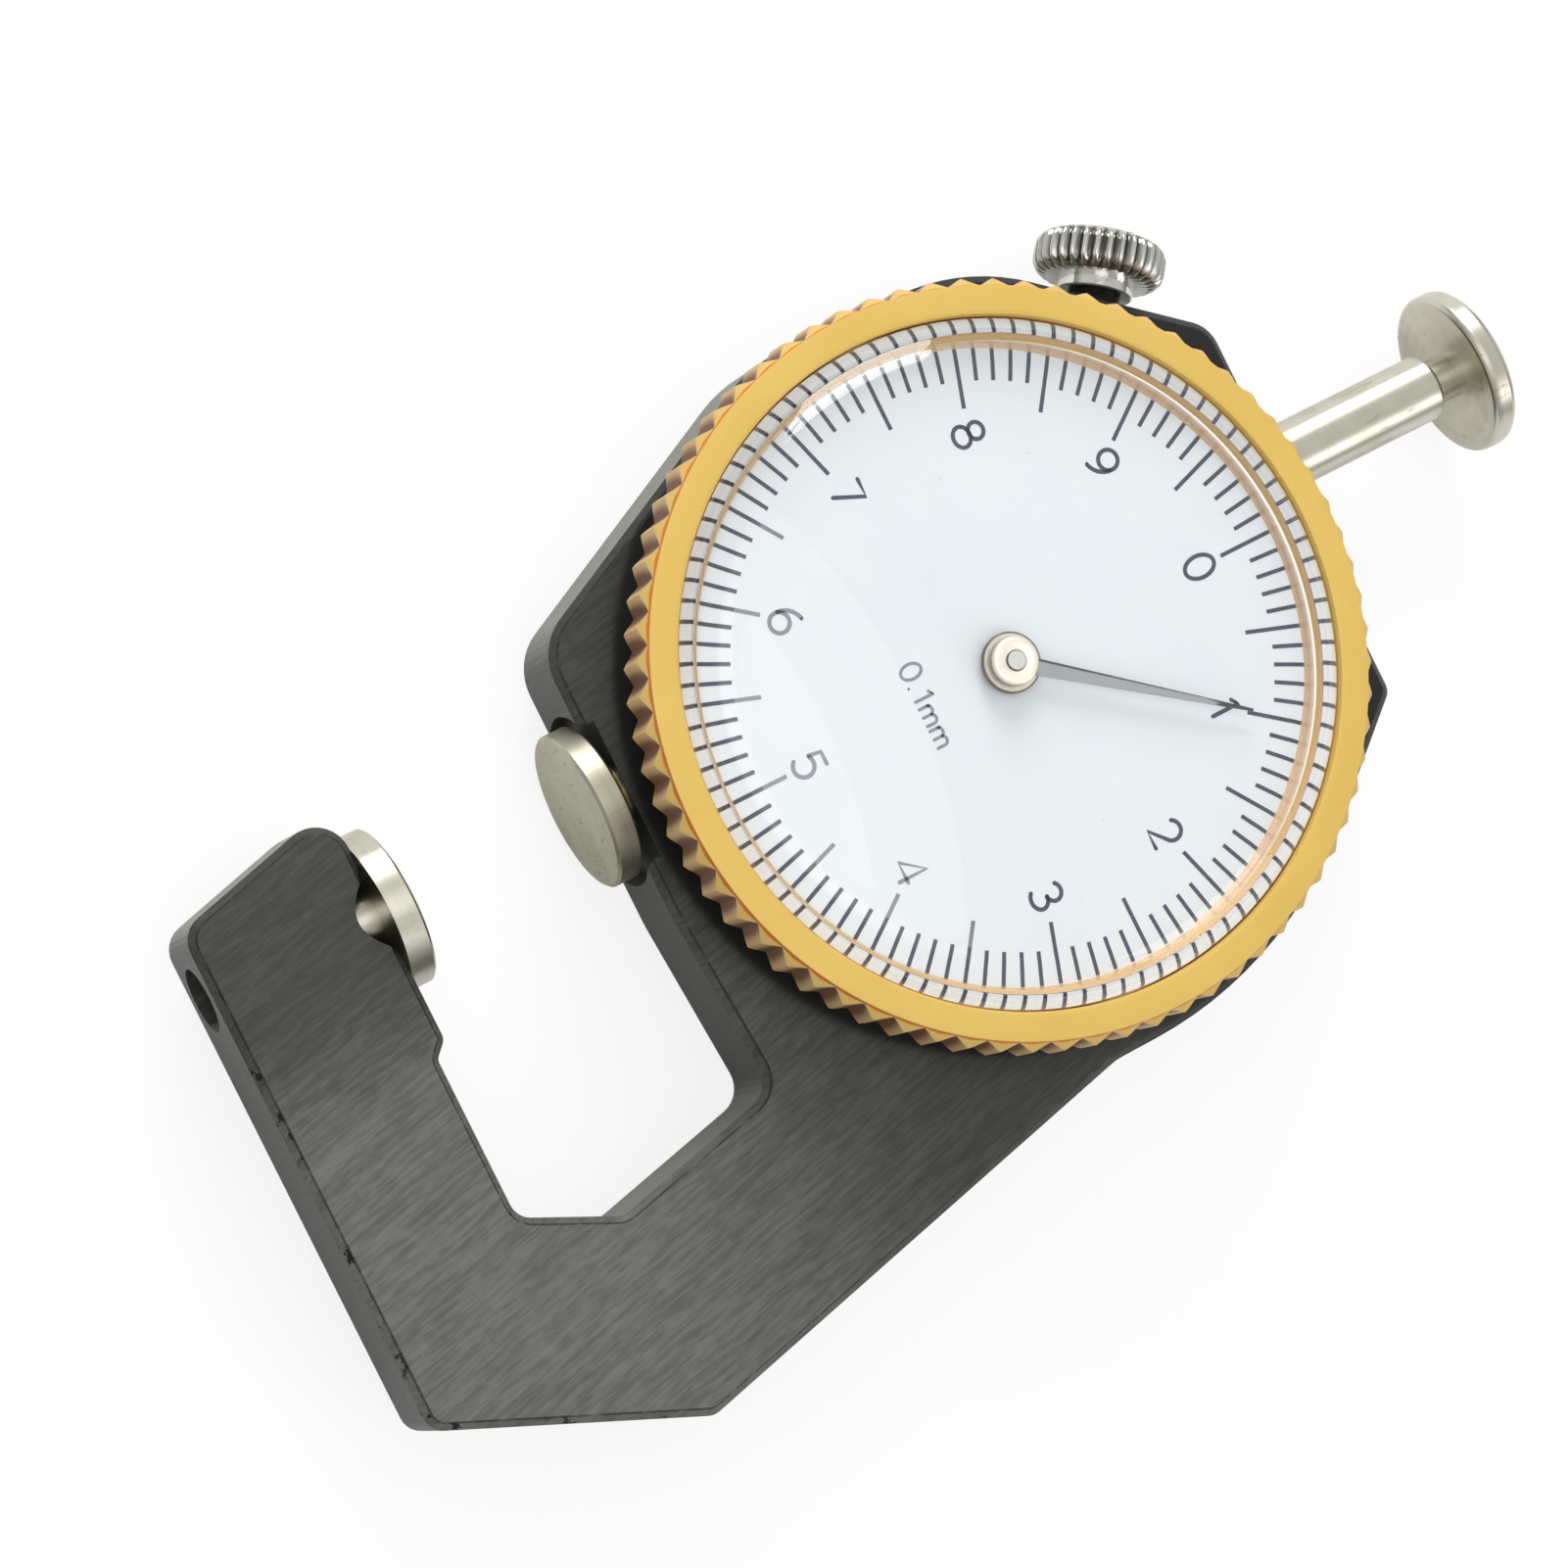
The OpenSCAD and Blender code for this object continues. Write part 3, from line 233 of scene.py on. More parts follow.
    def end(self, shader: bpy.types.Node) -> Any:
        """Links the last shader to the output and returns the material or the world."""
        self.tree.links.new(shader.outputs[0], self.output.inputs[0])
        return self.owner


class Turned(Enum):
    """The axis that a turned piece was cut round, as a point and the two directions across it."""

    DIAL = ((0.0, 0.0, 0.0), (1.0, 0.0, 0.0), (0.0, 1.0, 0.0))
    SPINDLE = ((-3.1, 0.0, 5.1), (1.0, 0.0, 0.0), (0.0, 0.0, 1.0))
    LOCK = ((-16.557, 17.847, 5.1), (0.60876, 0.79335, 0.0), (0.0, 0.0, 1.0))


@dataclass(frozen=True)
class SandedEnamel:
    """Dark grey enamel, rubbed down along the frame, with pits and dark edges."""

    name: str = "grey_enamel"
    face: Colour = tint(58, 59, 54)
    lighter_tone: Colour = tint(122, 123, 118)
    side: Colour = tint(62, 62, 58)
    side_lit_colour: Colour = tint(122, 122, 112)
    rim_shade_colour: Colour = tint(32, 32, 33)
    dark: Colour = tint(12, 12, 13)
    grain: tuple[float, float] = (-0.21, 0.978)
    front_z: float = 8.1
    rim_shadow_r: float = 20.0
    bevel: float = 0.45

    def material(self) -> bpy.types.Material:
        """Returns the finish.

        The grain is noise on two lengths, along and across the rubbing direction. Pits are the
        middles of scattered cells, and chips are ragged noise where the point's height lies on
        the bevel. The face is lighter towards +X and -Y. The sides that face -X are painted
        lighter as painted light from that side, the face is painted darker towards +Y as shade
        near the rim, and the face under the dial's rim is painted dark as the rim's shadow.
        """
        g = Graph(self.name)
        x, y, z = g.axes()
        left, _, up = g.axes(g.facing)
        along = x * self.grain[0] + y * self.grain[1]
        across = x * self.grain[1] - y * self.grain[0]
        fine = g.noise(1.0, 4.0, g.place(along * 420.0, across * 4000.0, z * 2200.0), 0.7)
        broad = g.noise(1.0, 3.0, g.place(along * 90.0, across * 800.0, z * 700.0), 0.6)
        mottle = g.noise(1100.0, 3.0, roughness=0.65)
        flat = abs(up).ramp(0.55, 0.95)
        drop = self.front_z - abs(z / MM)
        on_bevel = drop.ramp(0.04, 0.12) * drop.ramp(self.bevel + 0.1, self.bevel - 0.05)
        spots = g.cells(230.0)
        speck = (1.0 - spots.ramp(0.03, 0.06)) * g.noise(120.0, 1.0).ramp(0.54, 0.6)
        outer = (x / MM * 0.36 - y / MM * 0.93).ramp(37.5, 40.0)
        ragged = g.noise(900.0, 4.0, roughness=0.7)
        chip = ragged.ramp(0.56, 0.6) * on_bevel * outer * g.noise(260.0, 1.0).ramp(0.42, 0.52)
        line = drop.ramp(0.0, 0.03) * drop.ramp(0.17, 0.09) * ragged.ramp(0.3, 0.5)
        # The face is lighter towards +X and -Y, and its grain is stronger there.
        lighter_zone = (x / MM).ramp(-1.0, 8.0) * (y / MM).ramp(-8.0, -34.0)
        streak = (
            fine.ramp(0.32, 0.68) * 0.6 + broad.ramp(0.3, 0.7) * 0.22
            + mottle.ramp(0.3, 0.7) * 0.18 - 0.5
        )
        tone = streak * (lighter_zone * 0.2 + 0.34) + lighter_zone * 0.44 + 0.12
        sanded = g.blend(tone.ramp(0.0, 1.0) * 0.5 + tone * 0.5, self.face, self.lighter_tone)
        # Painted shade: the face darkens towards +Y, round the dial housing, where the rim shades
        # it.
        sanded = g.blend((y / MM).ramp(-4.0, 8.0), sanded, self.rim_shade_colour)
        # Painted light: the sides that face -X are lighter, on the side the light comes from.
        painted_side_light = (left * -1.0).ramp(0.25, 1.0) * (broad * 0.5 + 0.75)
        coat = g.blend(flat.ramp(0.0, 0.4), g.blend(painted_side_light, self.side, self.side_lit_colour), sanded)
        # Painted shadow: the front face just round the dial housing, under the rim, is darkened.
        near = ((x * x + y * y).root() / MM).ramp(self.rim_shadow_r + 0.9, self.rim_shadow_r)
        under = near * (z / MM).ramp(5.0, 7.0) * flat
        # The dark colour takes the real pits, chips and edge lines, and also the painted shadow
        # under the rim.
        pits_and_shadow = (speck * flat * 0.8 + chip * 0.95 + line * 0.6 + under * 0.8).ramp(0.0, 1.0)
        colour = g.blend(pits_and_shadow, coat, self.dark)
        height = (
            fine * flat * 0.5 + broad * flat * 0.3 - speck * 0.5 - chip * 0.6
            + mottle * flat * 0.3
        )
        return g.close(
            Base_Color=colour,
            Roughness=0.36 + (fine - 0.5) * 0.2 + pits_and_shadow * 0.2 + flat * 0.12,
            Specular_IOR_Level=0.28,
            Normal=g.bump(height, 0.02, 0.7),
        )


@dataclass(frozen=True)
class TurnedMetal:
    """Bare or plated metal with turning marks round its own axis."""

    name: str
    base: Colour
    shade: Colour
    roughness: float
    axis: Turned = Turned.DIAL
    marks: float = 9000.0
    depth: float = 0.004
    recess: Optional[Colour] = None

    def material(self) -> bpy.types.Material:
        """Returns the finish.

        The marks are noise of the distance from the axis, stretched round it, so that a flat
        face shows rings and a turned wall shows fine bands. A recess colour paints shade
        into the grooves and walls that the mesh names in its attribute of that name.
        """
        g = Graph(self.name)
        centre, first, second = self.axis.value
        x, y, z = g.axes()
        parts = [p - c * MM for p, c in zip((x, y, z), centre)]
        u, v, w = (
            parts[0] * float(a) + parts[1] * float(b) + parts[2] * float(c)
            for a, b, c in (first, second, np.cross(first, second))
        )
        radius = (u * u + v * v).root()
        rings = g.noise(1.0, 3.0, g.place(radius * self.marks, w * self.marks, 0.0), 0.65)
        cloud = g.noise(420.0, 3.0)
        scuffs = g.noise(1.0, 2.0, g.place(x * 3000.0, y * 500.0, z * 900.0), 0.6).ramp(0.62, 0.75)
        shade = ((cloud - 0.5) * 0.9 + (rings - 0.5) * 0.5 + scuffs * 0.35 + 0.25).ramp(0.0, 1.0)
        colour = g.blend(shade, self.base, self.shade)
        # Painted shade in the grooves and walls that the mesh marks.
        if self.recess is not None:
            colour = g.blend(g.attribute("recess"), colour, self.recess)
        return g.close(
            Base_Color=colour,
            Roughness=self.roughness + (cloud - 0.5) * 0.12 + (rings - 0.5) * 0.1 + scuffs * 0.08,
            Metallic=1.0,
            Normal=g.bump(rings, self.depth, 0.6),
        )


@dataclass(frozen=True)
class SatinGold:
    """Satin gold anodising, turned tan and brown by painted shade where the mesh carries it."""

    name: str = "gold_anodised"
    base: Colour = tint(224, 187, 92)
    pale: Colour = tint(231, 197, 104)
    tan: Colour = tint(214, 178, 128)
    shade_brown: Colour = tint(122, 84, 58)
    orange: Colour = tint(214, 128, 50)

    def material(self) -> bpy.types.Material:
        """Returns the finish: a fine even grain.

        The attribute shade_brown darkens the grooves, the outer wall and the underside as painted
        shade, and the attribute line marks the orange edge between the flat ring and the grooves.
        """
        g = Graph(self.name)
        grain = g.noise(5200.0, 2.0, roughness=0.7)
        cloud = g.noise(240.0, 3.0)
        shade_brown = g.attribute("shade_brown")
        bright = ((cloud - 0.5) * 1.2 + (grain - 0.5) * 0.6 + 0.3).ramp(0.0, 1.0)
        gold = g.blend(bright, self.base, self.pale)
        # Painted shade: the shade_brown share turns the gold tan and then brown.
        groove_shade = shade_brown + (cloud - 0.5) * 0.25 * shade_brown
        tan_shaded = g.blend(groove_shade.ramp(0.1, 0.35), gold, self.tan)
        brown_shaded = g.blend(groove_shade.ramp(0.3, 0.95), tan_shaded, self.shade_brown)
        return g.close(
            Base_Color=g.blend(g.attribute("line").ramp(0.2, 0.8), brown_shaded, self.orange),
            Roughness=0.5 + (grain - 0.5) * 0.16 + groove_shade * 0.06,
            Metallic=0.15,
            Normal=g.bump(grain, 0.006, 0.35),
        )


@dataclass(frozen=True)
class DialEnamel:
    """Pale blue-white dial paint with a faint cloud and dust specks."""

    name: str = "dial_white"
    base: Colour = tint(230, 236, 239)
    shade: Colour = tint(224, 231, 235)
    dust: Colour = tint(170, 178, 182)

    def material(self) -> bpy.types.Material:
        """Returns the finish: broad faint cloud, and specks in the middles of scattered cells."""
        g = Graph(self.name)
        cloud = g.noise(130.0, 3.0)
        specks = (1.0 - g.cells(700.0).ramp(0.03, 0.07)) * g.noise(300.0, 1.0).ramp(0.55, 0.62)
        paint = g.blend((cloud - 0.2).ramp(0.0, 0.9), self.base, self.shade)
        return g.close(
            Base_Color=g.blend(specks * 0.35, paint, self.dust),
            Roughness=0.5 + (cloud - 0.5) * 0.1,
            Normal=g.bump(g.noise(3000.0, 2.0), 0.002, 0.3),
        )


@dataclass(frozen=True)
class Ink:
    """Printing ink, slightly uneven in cover."""

    name: str
    base: Colour
    thin: Colour
    glare_tint: Colour = tint(165, 170, 176)
    glare_r: float = 15.2
    glare_from: float = -5.0
    glare_to: float = -10.0
    fade: float = 0.55

    def material(self) -> bpy.types.Material:
        """Returns the finish: fine noise lets the thin colour through.

        Inside glare_r the ink is paled towards -Y, as the photographed dial shows it: a painted
        reflection of glare on the crystal.
        """
        g = Graph(self.name)
        x, y, _ = g.axes()
        cover = g.noise(2600.0, 3.0)
        inside = ((x * x + y * y).root() / MM).ramp(self.glare_r + 0.05, self.glare_r - 0.05)
        # Painted reflection: the crystal's glare pales the ink towards glare_tint.
        share = (y / MM).ramp(self.glare_from, self.glare_to) * inside * self.fade
        ink = g.blend((cover - 0.45).ramp(0.0, 0.35), self.base, self.thin)
        return g.close(
            Base_Color=g.blend(share, ink, self.glare_tint),
            Roughness=0.55 + (cover - 0.5) * 0.2,
            Normal=g.bump(cover, 0.002, 0.3),
        )


@dataclass(frozen=True)
class ClearCrystal:
    """Clear acrylic with a trace of blue and faint hairlines."""

    name: str = "clear_crystal"
    base: Colour = (0.985, 0.995, 1.0)

    def material(self) -> bpy.types.Material:
        """Returns the finish: fully clear, with hairlines only in its roughness.

        Light that falls on the dial or comes back from it passes straight through, so that the
        dial is as bright under the thick wall as in its middle.
        """
        g = Graph(self.name)
        x, y, z = g.axes()
        hair = g.noise(1.0, 2.0, g.place(x * 5000.0, y * 260.0, z * 900.0), 0.6).ramp(0.7, 0.8)
        return g.close(
            Base_Color=self.base,
            Roughness=hair * 0.03,
            IOR=1.49,
            Transmission_Weight=1.0,
            Alpha=1.0 - g.rays("Shadow", "Diffuse"),
        )


@dataclass(frozen=True)
class RimReflectionPaint:
    """Amber on the crystal's outer wall: a painted reflection of the gold rim in the crystal's
    edge.
    """

    name: str = "painted_rim_reflection"
    base: Colour = tint(240, 200, 150)
    dark: Colour = tint(230, 182, 128)
    light_z: float = 13.2
    dark_z: float = 12.2

    def material(self) -> bpy.types.Material:
        """Returns the finish: cloud in two ambers, with more of the darker one low on the wall."""
        g = Graph(self.name)
        _, _, z = g.axes()
        cloud = g.noise(500.0, 2.0)
        low = (z / MM).ramp(self.light_z, self.dark_z)
        return g.close(
            Base_Color=g.blend(low * 0.6 + (cloud - 0.5) * 0.4, self.base, self.dark),
            Roughness=0.5 + (cloud - 0.5) * 0.1,
            Metallic=0.2,
        )


@dataclass(frozen=True)
class Fibre:
    """Dark pressed fibre of the washer under the dial."""

    name: str = "fibre_washer"
    base: Colour = tint(96, 84, 70)
    dark: Colour = tint(60, 52, 44)

    def material(self) -> bpy.types.Material:
        """Returns the finish: short mottled fibres in colour and height."""
        g = Graph(self.name)
        fibres = g.noise(2400.0, 4.0, roughness=0.7)
        return g.close(
            Base_Color=g.blend(fibres.ramp(0.3, 0.7), self.base, self.dark),
            Roughness=0.85 + (fibres - 0.5) * 0.1,
            Normal=g.bump(fibres, 0.02, 0.5),
        )


@dataclass(frozen=True)
class HandPaint:
    """Thin grey strip of the hand, darker along its far edge as painted shade, and at its tip."""

    name: str = "hand_grey"
    base: Colour = tint(158, 160, 162)
    dark: Colour = tint(38, 39, 42)

    def material(self) -> bpy.types.Material:
        """Returns the finish: the attribute edge darkens one long side, as painted shade, and the
        tip.
        """
        g = Graph(self.name)
        edge = g.attribute("edge")
        cloud = g.noise(1500.0, 2.0)
        return g.close(
            Base_Color=g.blend((edge + (cloud - 0.5) * 0.2).ramp(0.3, 0.7), self.base, self.dark),
            Roughness=0.4 + (cloud - 0.5) * 0.1,
            Metallic=0.4,
        )


@dataclass
class Shape:
    """Points and faces of a mesh, in millimetres, with numbers that its points carry."""

    points: np.ndarray
    faces: np.ndarray
    carried: dict[str, np.ndarray] = field(default_factory=dict)


def woven(points: np.ndarray, round_rows: bool, round_columns: bool) -> Shape:
    """Joins a grid of points into a surface of quads.

    Args:
        points: Array of rows, columns and three numbers.
        round_rows: True if the last row joins the first one.
        round_columns: True if the last column joins the first one.

    Returns:
        The surface.
    """
    rows, columns = points.shape[:2]
    i = np.arange(rows if round_rows else rows - 1)[:, None]
    j = np.arange(columns if round_columns else columns - 1)[None, :]
    k, m = (i + 1) % rows, (j + 1) % columns
    faces = np.stack([i * columns + j, k * columns + j, k * columns + m, i * columns + m], axis=-1)
    return Shape(points.reshape(-1, 3), faces.reshape(-1, 4))


def turns(steps: int) -> np.ndarray:
    """Returns the angles of a full turn in equal steps, in radians."""
    return np.linspace(0, 2 * np.pi, steps, endpoint=False)


def turned(along: Any, across: Any, height: Any, turn: Any) -> np.ndarray:
    """Returns points (a, b, z) turned by t: (a cos t - b sin t, a sin t + b cos t, z)."""
    c, s = np.cos(turn), np.sin(turn)
    flat = along * c - across * s, along * s + across * c
    return np.stack(np.broadcast_arrays(*flat, height), axis=-1)


def spun(profile: np.ndarray, steps: int) -> Shape:
    """Turns a profile round the Z axis: a point (r, z) goes to (r cos t, r sin t, z).

    Args:
        profile: Array of (r, z) pairs, closed on itself or ending on the axis.
        steps: Number of columns round the axis.

    Returns:
        The surface of revolution.
    """
    return woven(turned(profile[:, :1], 0.0, profile[:, 1:], turns(steps)), False, True)


def arc(
    centre: Sequence[float], radii: Sequence[float], start: float, end: float, steps: int
) -> np.ndarray:
    """Returns points (cx + rx cos t, cy + ry sin t) for t from start to end degrees."""
    t = np.radians(np.linspace(start, end, steps))
    return np.stack([centre[0] + radii[0] * np.cos(t), centre[1] + radii[1] * np.sin(t)], axis=-1)


def together(shapes: Sequence[Shape]) -> Shape:
    """Returns the shapes as one, with their faces renumbered."""
    starts = np.cumsum([0] + [len(s.points) for s in shapes[:-1]])
    faces = np.concatenate([s.faces + n for s, n in zip(shapes, starts)])
    return Shape(np.concatenate([s.points for s in shapes]), faces)


def wire(line: np.ndarray, sideways: np.ndarray, radius: float, sides: int) -> Shape:
    """Carries a circle along a line in space: p(i, t) = line_i + radius (n_i cos t + b_i sin t).

    n_i is the sideways direction made square to the line, and b_i is square to both.

    Args:
        line: Array of points.
        sideways: A direction for each point, never along the line.
        radius: Radius of the wire.
        sides: Number of points round the wire.

    Returns:
        The wire as a closed surface.
    """
    ahead = np.gradient(line, axis=0)
    ahead /= np.linalg.norm(ahead, axis=1, keepdims=True)
    n = sideways - ahead * np.sum(sideways * ahead, axis=1, keepdims=True)
    n /= np.linalg.norm(n, axis=1, keepdims=True)
    b = np.cross(ahead, n)
    t = turns(sides)[None, :, None]
    points = line[:, None] + radius * (n[:, None] * np.cos(t) + b[:, None] * np.sin(t))
    ends = np.repeat(line[[0, -1], None], sides, axis=1)
    return woven(np.concatenate([ends[:1], points, ends[1:]]), False, True)


def ribbon(line: np.ndarray, width: float, low: float, high: float, closed: bool) -> Shape:
    """Carries a flat rectangle along a line in the XY plane.

    A point p with sideways unit vector n gives p + n w / 2 and p - n w / 2, at both heights. On
    an open line w shrinks over its last half width as on a round end.

    Args:
        line: Array of (x, y) points.
        width: Width of the stroke.
        low: Height of its underside.
        high: Height of its top.
        closed: True if the line ends where it starts, with no point twice.

    Returns:
        The stroke as a closed surface.
    """
    if not closed:
        tip = np.array([0.02, 0.15, 0.5]) * width
        first, last = line[1] - line[0], line[-2] - line[-1]
        head = line[0] + np.outer(tip, first / np.linalg.norm(first))
        tail = line[-1] + np.outer(tip[::-1], last / np.linalg.norm(last))
        line = np.concatenate([line[:1], head, line[1:-1], tail, line[-1:]])
    ahead = np.roll(line, -1, axis=0) - np.roll(line, 1, axis=0)
    if not closed:
        ahead[0], ahead[-1] = line[1] - line[0], line[-1] - line[-2]
    ahead /= np.linalg.norm(ahead, axis=1, keepdims=True)
    side = np.stack([-ahead[:, 1], ahead[:, 0]], axis=-1)
    half = np.full(len(line), width / 2)
    if not closed:
        run = np.concatenate([[0], np.cumsum(np.linalg.norm(np.diff(line, axis=0), axis=1))])
        near = np.clip(np.minimum(run, run[-1] - run) / (width / 2), 0.02, 1)
        half = half * np.sqrt(1 - (1 - near) ** 2)
    left, right = line + side * half[:, None], line - side * half[:, None]
    flat = np.stack([left, left, right, right], axis=1)
    heights = np.broadcast_to(np.array([low, high, high, low])[None, :, None], (len(line), 4, 1))
    shape = woven(np.concatenate([flat, heights], axis=-1), closed, True)
    if closed:
        return shape
    n = len(line) * 4
    caps = np.array([[0, 1, 2, 3], [n - 1, n - 2, n - 3, n - 4]])
    return Shape(shape.points, np.concatenate([shape.faces, caps]))


@dataclass(frozen=True)
class Place:
    """Where a piece that was drawn round +Z stands in the gauge."""

    origin: Point = (0.0, 0.0, 0.0)
    x: Point = (1.0, 0.0, 0.0)
    y: Point = (0.0, 1.0, 0.0)

    def put(self, points: np.ndarray) -> np.ndarray:
        """Returns origin + x X + y Y + z (X cross Y) for every point (x, y, z)."""
        x, y = np.array(self.x), np.array(self.y)
        return np.array(self.origin) + points @ np.stack([x, y, np.cross(x, y)])


@dataclass(frozen=True)
class Stretch:
    """Two bodies that a piece stretches between, and the points where it leaves each of them."""

    first: str
    second: str
    start: Point
    end: Point


def stand(name: str, data: Any) -> bpy.types.Object:
    """Returns a new object of the scene that holds the given mesh, lamp or camera."""
    made = bpy.data.objects.new(name, data)
    bpy.context.scene.collection.objects.link(made)
    return made


def make_piece(
    name: str,
    shape: Shape,
    material: bpy.types.Material,
    body: str,
    replaces: Sequence[str] = (),
    sharp: float = 40.0,
    place: Place = Place(),
    stretch: Optional[Stretch] = None,
) -> bpy.types.Object:
    """Puts a shape into the scene as a finished piece.

    Args:
        name: Name of the piece.
        shape: Its surface in millimetres.
        material: Its finish.
        body: The body that it rides on.
        replaces: Nodes that it stands for.
        sharp: Angle in degrees above which an edge stays sharp.
        place: Where it stands.
        stretch: The two bodies that it stretches between, in place of riding on one.

    Returns:
        The new object.
    """
    mesh = bpy.data.meshes.new(name)
    mesh.from_pydata((place.put(shape.points) * MM).tolist(), [], shape.faces.tolist())
    for key, values in shape.carried.items():
        layer = mesh.attributes.new(key, "FLOAT", "POINT")
        layer.data.foreach_set("value", values.astype(np.float32).ravel())
    work = bmesh.new()
    work.from_mesh(mesh)
    bmesh.ops.remove_doubles(work, verts=work.verts, dist=MERGE)
    bmesh.ops.dissolve_degenerate(work, edges=work.edges, dist=SLIVER)
    loose = [e for e in work.edges if not e.link_faces]
    bmesh.ops.delete(work, geom=loose, context="EDGES")
    bmesh.ops.recalc_face_normals(work, faces=work.faces)
    open_edges = sum(1 for e in work.edges if len(e.link_faces) != 2)
    work.to_mesh(mesh)
    work.free()
    mesh.shade_smooth()
    mesh.set_sharp_from_angle(angle=math.radians(sharp))
    mesh.materials.append(material)
    piece = stand(name, mesh)
    if stretch is None:
        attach(piece, body)
    else:
        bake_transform(piece)
    if replaces:
        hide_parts(*replaces)
    counts = (len(mesh.vertices), len(mesh.polygons), open_edges)
    log.info("%s: %d points, %d faces, %d open edges", name, *counts)
    return piece


def dress(nodes: Sequence[str], material: bpy.types.Material) -> None:
    """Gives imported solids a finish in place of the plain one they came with."""
    for name in nodes:
        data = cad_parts[name].data
        data.materials.clear()
        data.materials.append(material)
        log.info("%s: %s", name, material.name)


DRAWN_WIRE = (tint(172, 174, 180), tint(120, 124, 132), 0.28)


@dataclass
class FrameAndMovement:
    """The C-shaped frame, its covers and the movement inside it."""

    enamel: SandedEnamel = SandedEnamel()
    steel: TurnedMetal = TurnedMetal("plated_screw", tint(214, 213, 207), tint(170, 168, 160), 0.3)
    # Black steel on the set screw, made darker as painted shade in its hole; on the plated lock
    # shank it is painted shade under the knob.
    black_and_shade: TurnedMetal = TurnedMetal(
        "black_screw", tint(40, 40, 42), tint(22, 22, 24), 0.42, Turned.SPINDLE
    )
    brass: TurnedMetal = TurnedMetal("brass_part", tint(214, 178, 108), tint(176, 138, 72), 0.32)
    wire: TurnedMetal = TurnedMetal("spring_wire", *DRAWN_WIRE)

    def build(self) -> None:
        """Dresses the frame, the covers, the screws and the moving parts inside."""
        for finish, nodes in (
            (self.enamel, "frame back_cover"),
            (
                self.steel,
                "cover_screws plate_screws guide_screws guide_block spring_post guide_pin"
                " centre_arbor",
            ),
            (self.black_and_shade, "anvil_lock_screw lock_shank"),
            (
                self.brass,
                "movement_plate upper_guide_bush lower_guide_bush lower_pivot_bush"
                " upper_pivot_bush hairspring_stud pinion hairspring_collet lock_pad",
            ),
            (self.wire, "hairspring retaining_wire"),
        ):
            dress(nodes.split(), finish.material())


@dataclass
class ReturnSpring:
    """The spring between its post in the housing and the pin on the spindle."""

    x: float = -6.65
    z: float = 5.1
    post_y: float = -12.83
    pin_y: float = 5.0
    eye_r: float = 0.8
    coil_r: float = 0.9
    wire_r: float = 0.15
    coils: float = 18.25
    lead: float = 0.5
    slack: float = 0.5
    eye_steps: int = 25
    coil_steps: int = 293
    sides: int = 8
    finish: TurnedMetal = TurnedMetal("return_wire", *DRAWN_WIRE)

    def surface(self) -> Shape:
        """Returns the wire: an eye round Z, a coil (r cos t, y, r sin t) and an eye round X.

        The direction across the wire is the axis of each stretch, as a running mean of five.
        """
        e, r = self.eye_r, self.coil_r
        low, high = self.post_y + e + self.lead, self.pin_y - e - self.lead
        t = np.radians(np.linspace(120, 410, self.eye_steps))
        first = np.stack([e * np.cos(t), self.post_y + e * np.sin(t), 0 * t], axis=-1)
        t = np.linspace(0, 2 * np.pi * self.coils, self.coil_steps)
        coil = np.stack([r * np.cos(t), np.linspace(low, high, len(t)), r * np.sin(t)], axis=-1)
        t = np.radians(np.linspace(130, -120, self.eye_steps))
        last = np.stack([0 * t, self.pin_y + e * np.cos(t), e * np.sin(t)], axis=-1)
        line = np.concatenate([first, coil, last]) + np.array([self.x, 0.0, self.z])
        axes = np.repeat(np.eye(3)[[2, 1, 0]], [len(first), len(coil), len(last)], axis=0)
        padded = np.pad(axes, ((2, 2), (0, 0)), mode="edge")
        sideways = sum(padded[k : k + len(axes)] for k in range(5)) / 5
        return wire(line, sideways, self.wire_r, self.sides)

    def build(self) -> None:
        """Makes the spring between its post and the pin, riding on neither body."""
        start = (self.x, self.post_y + self.slack, self.z)
        end = (self.x, self.pin_y - self.slack, self.z)
        make_piece(
            "return_coil", self.surface(), self.finish.material(), "spindle",
            ["return_spring"], stretch=Stretch("housing", "spindle", start, end),
        )


@dataclass
class Spindle:
    """The spindle with its measuring disc and thumb head, and the fixed disc facing it."""

    nickel: TurnedMetal = TurnedMetal(
        "nickel_steel", tint(214, 211, 197), tint(166, 162, 144), 0.3, Turned.SPINDLE
    )
    # A darker copy of the same nickel for the moving disc: painted shade for the darker reflections
    # on its faces.
    shaded_nickel: TurnedMetal = TurnedMetal(
        "nickel_painted_shade", tint(192, 189, 170), tint(140, 136, 117), 0.42, Turned.SPINDLE
    )

    def build(self) -> None:
        """Dresses the four plated pieces on the measuring axis."""
        dress(["spindle_rod", "fixed_anvil", "thumb_head"], self.nickel.material())
        dress(["moving_anvil"], self.shaded_nickel.material())


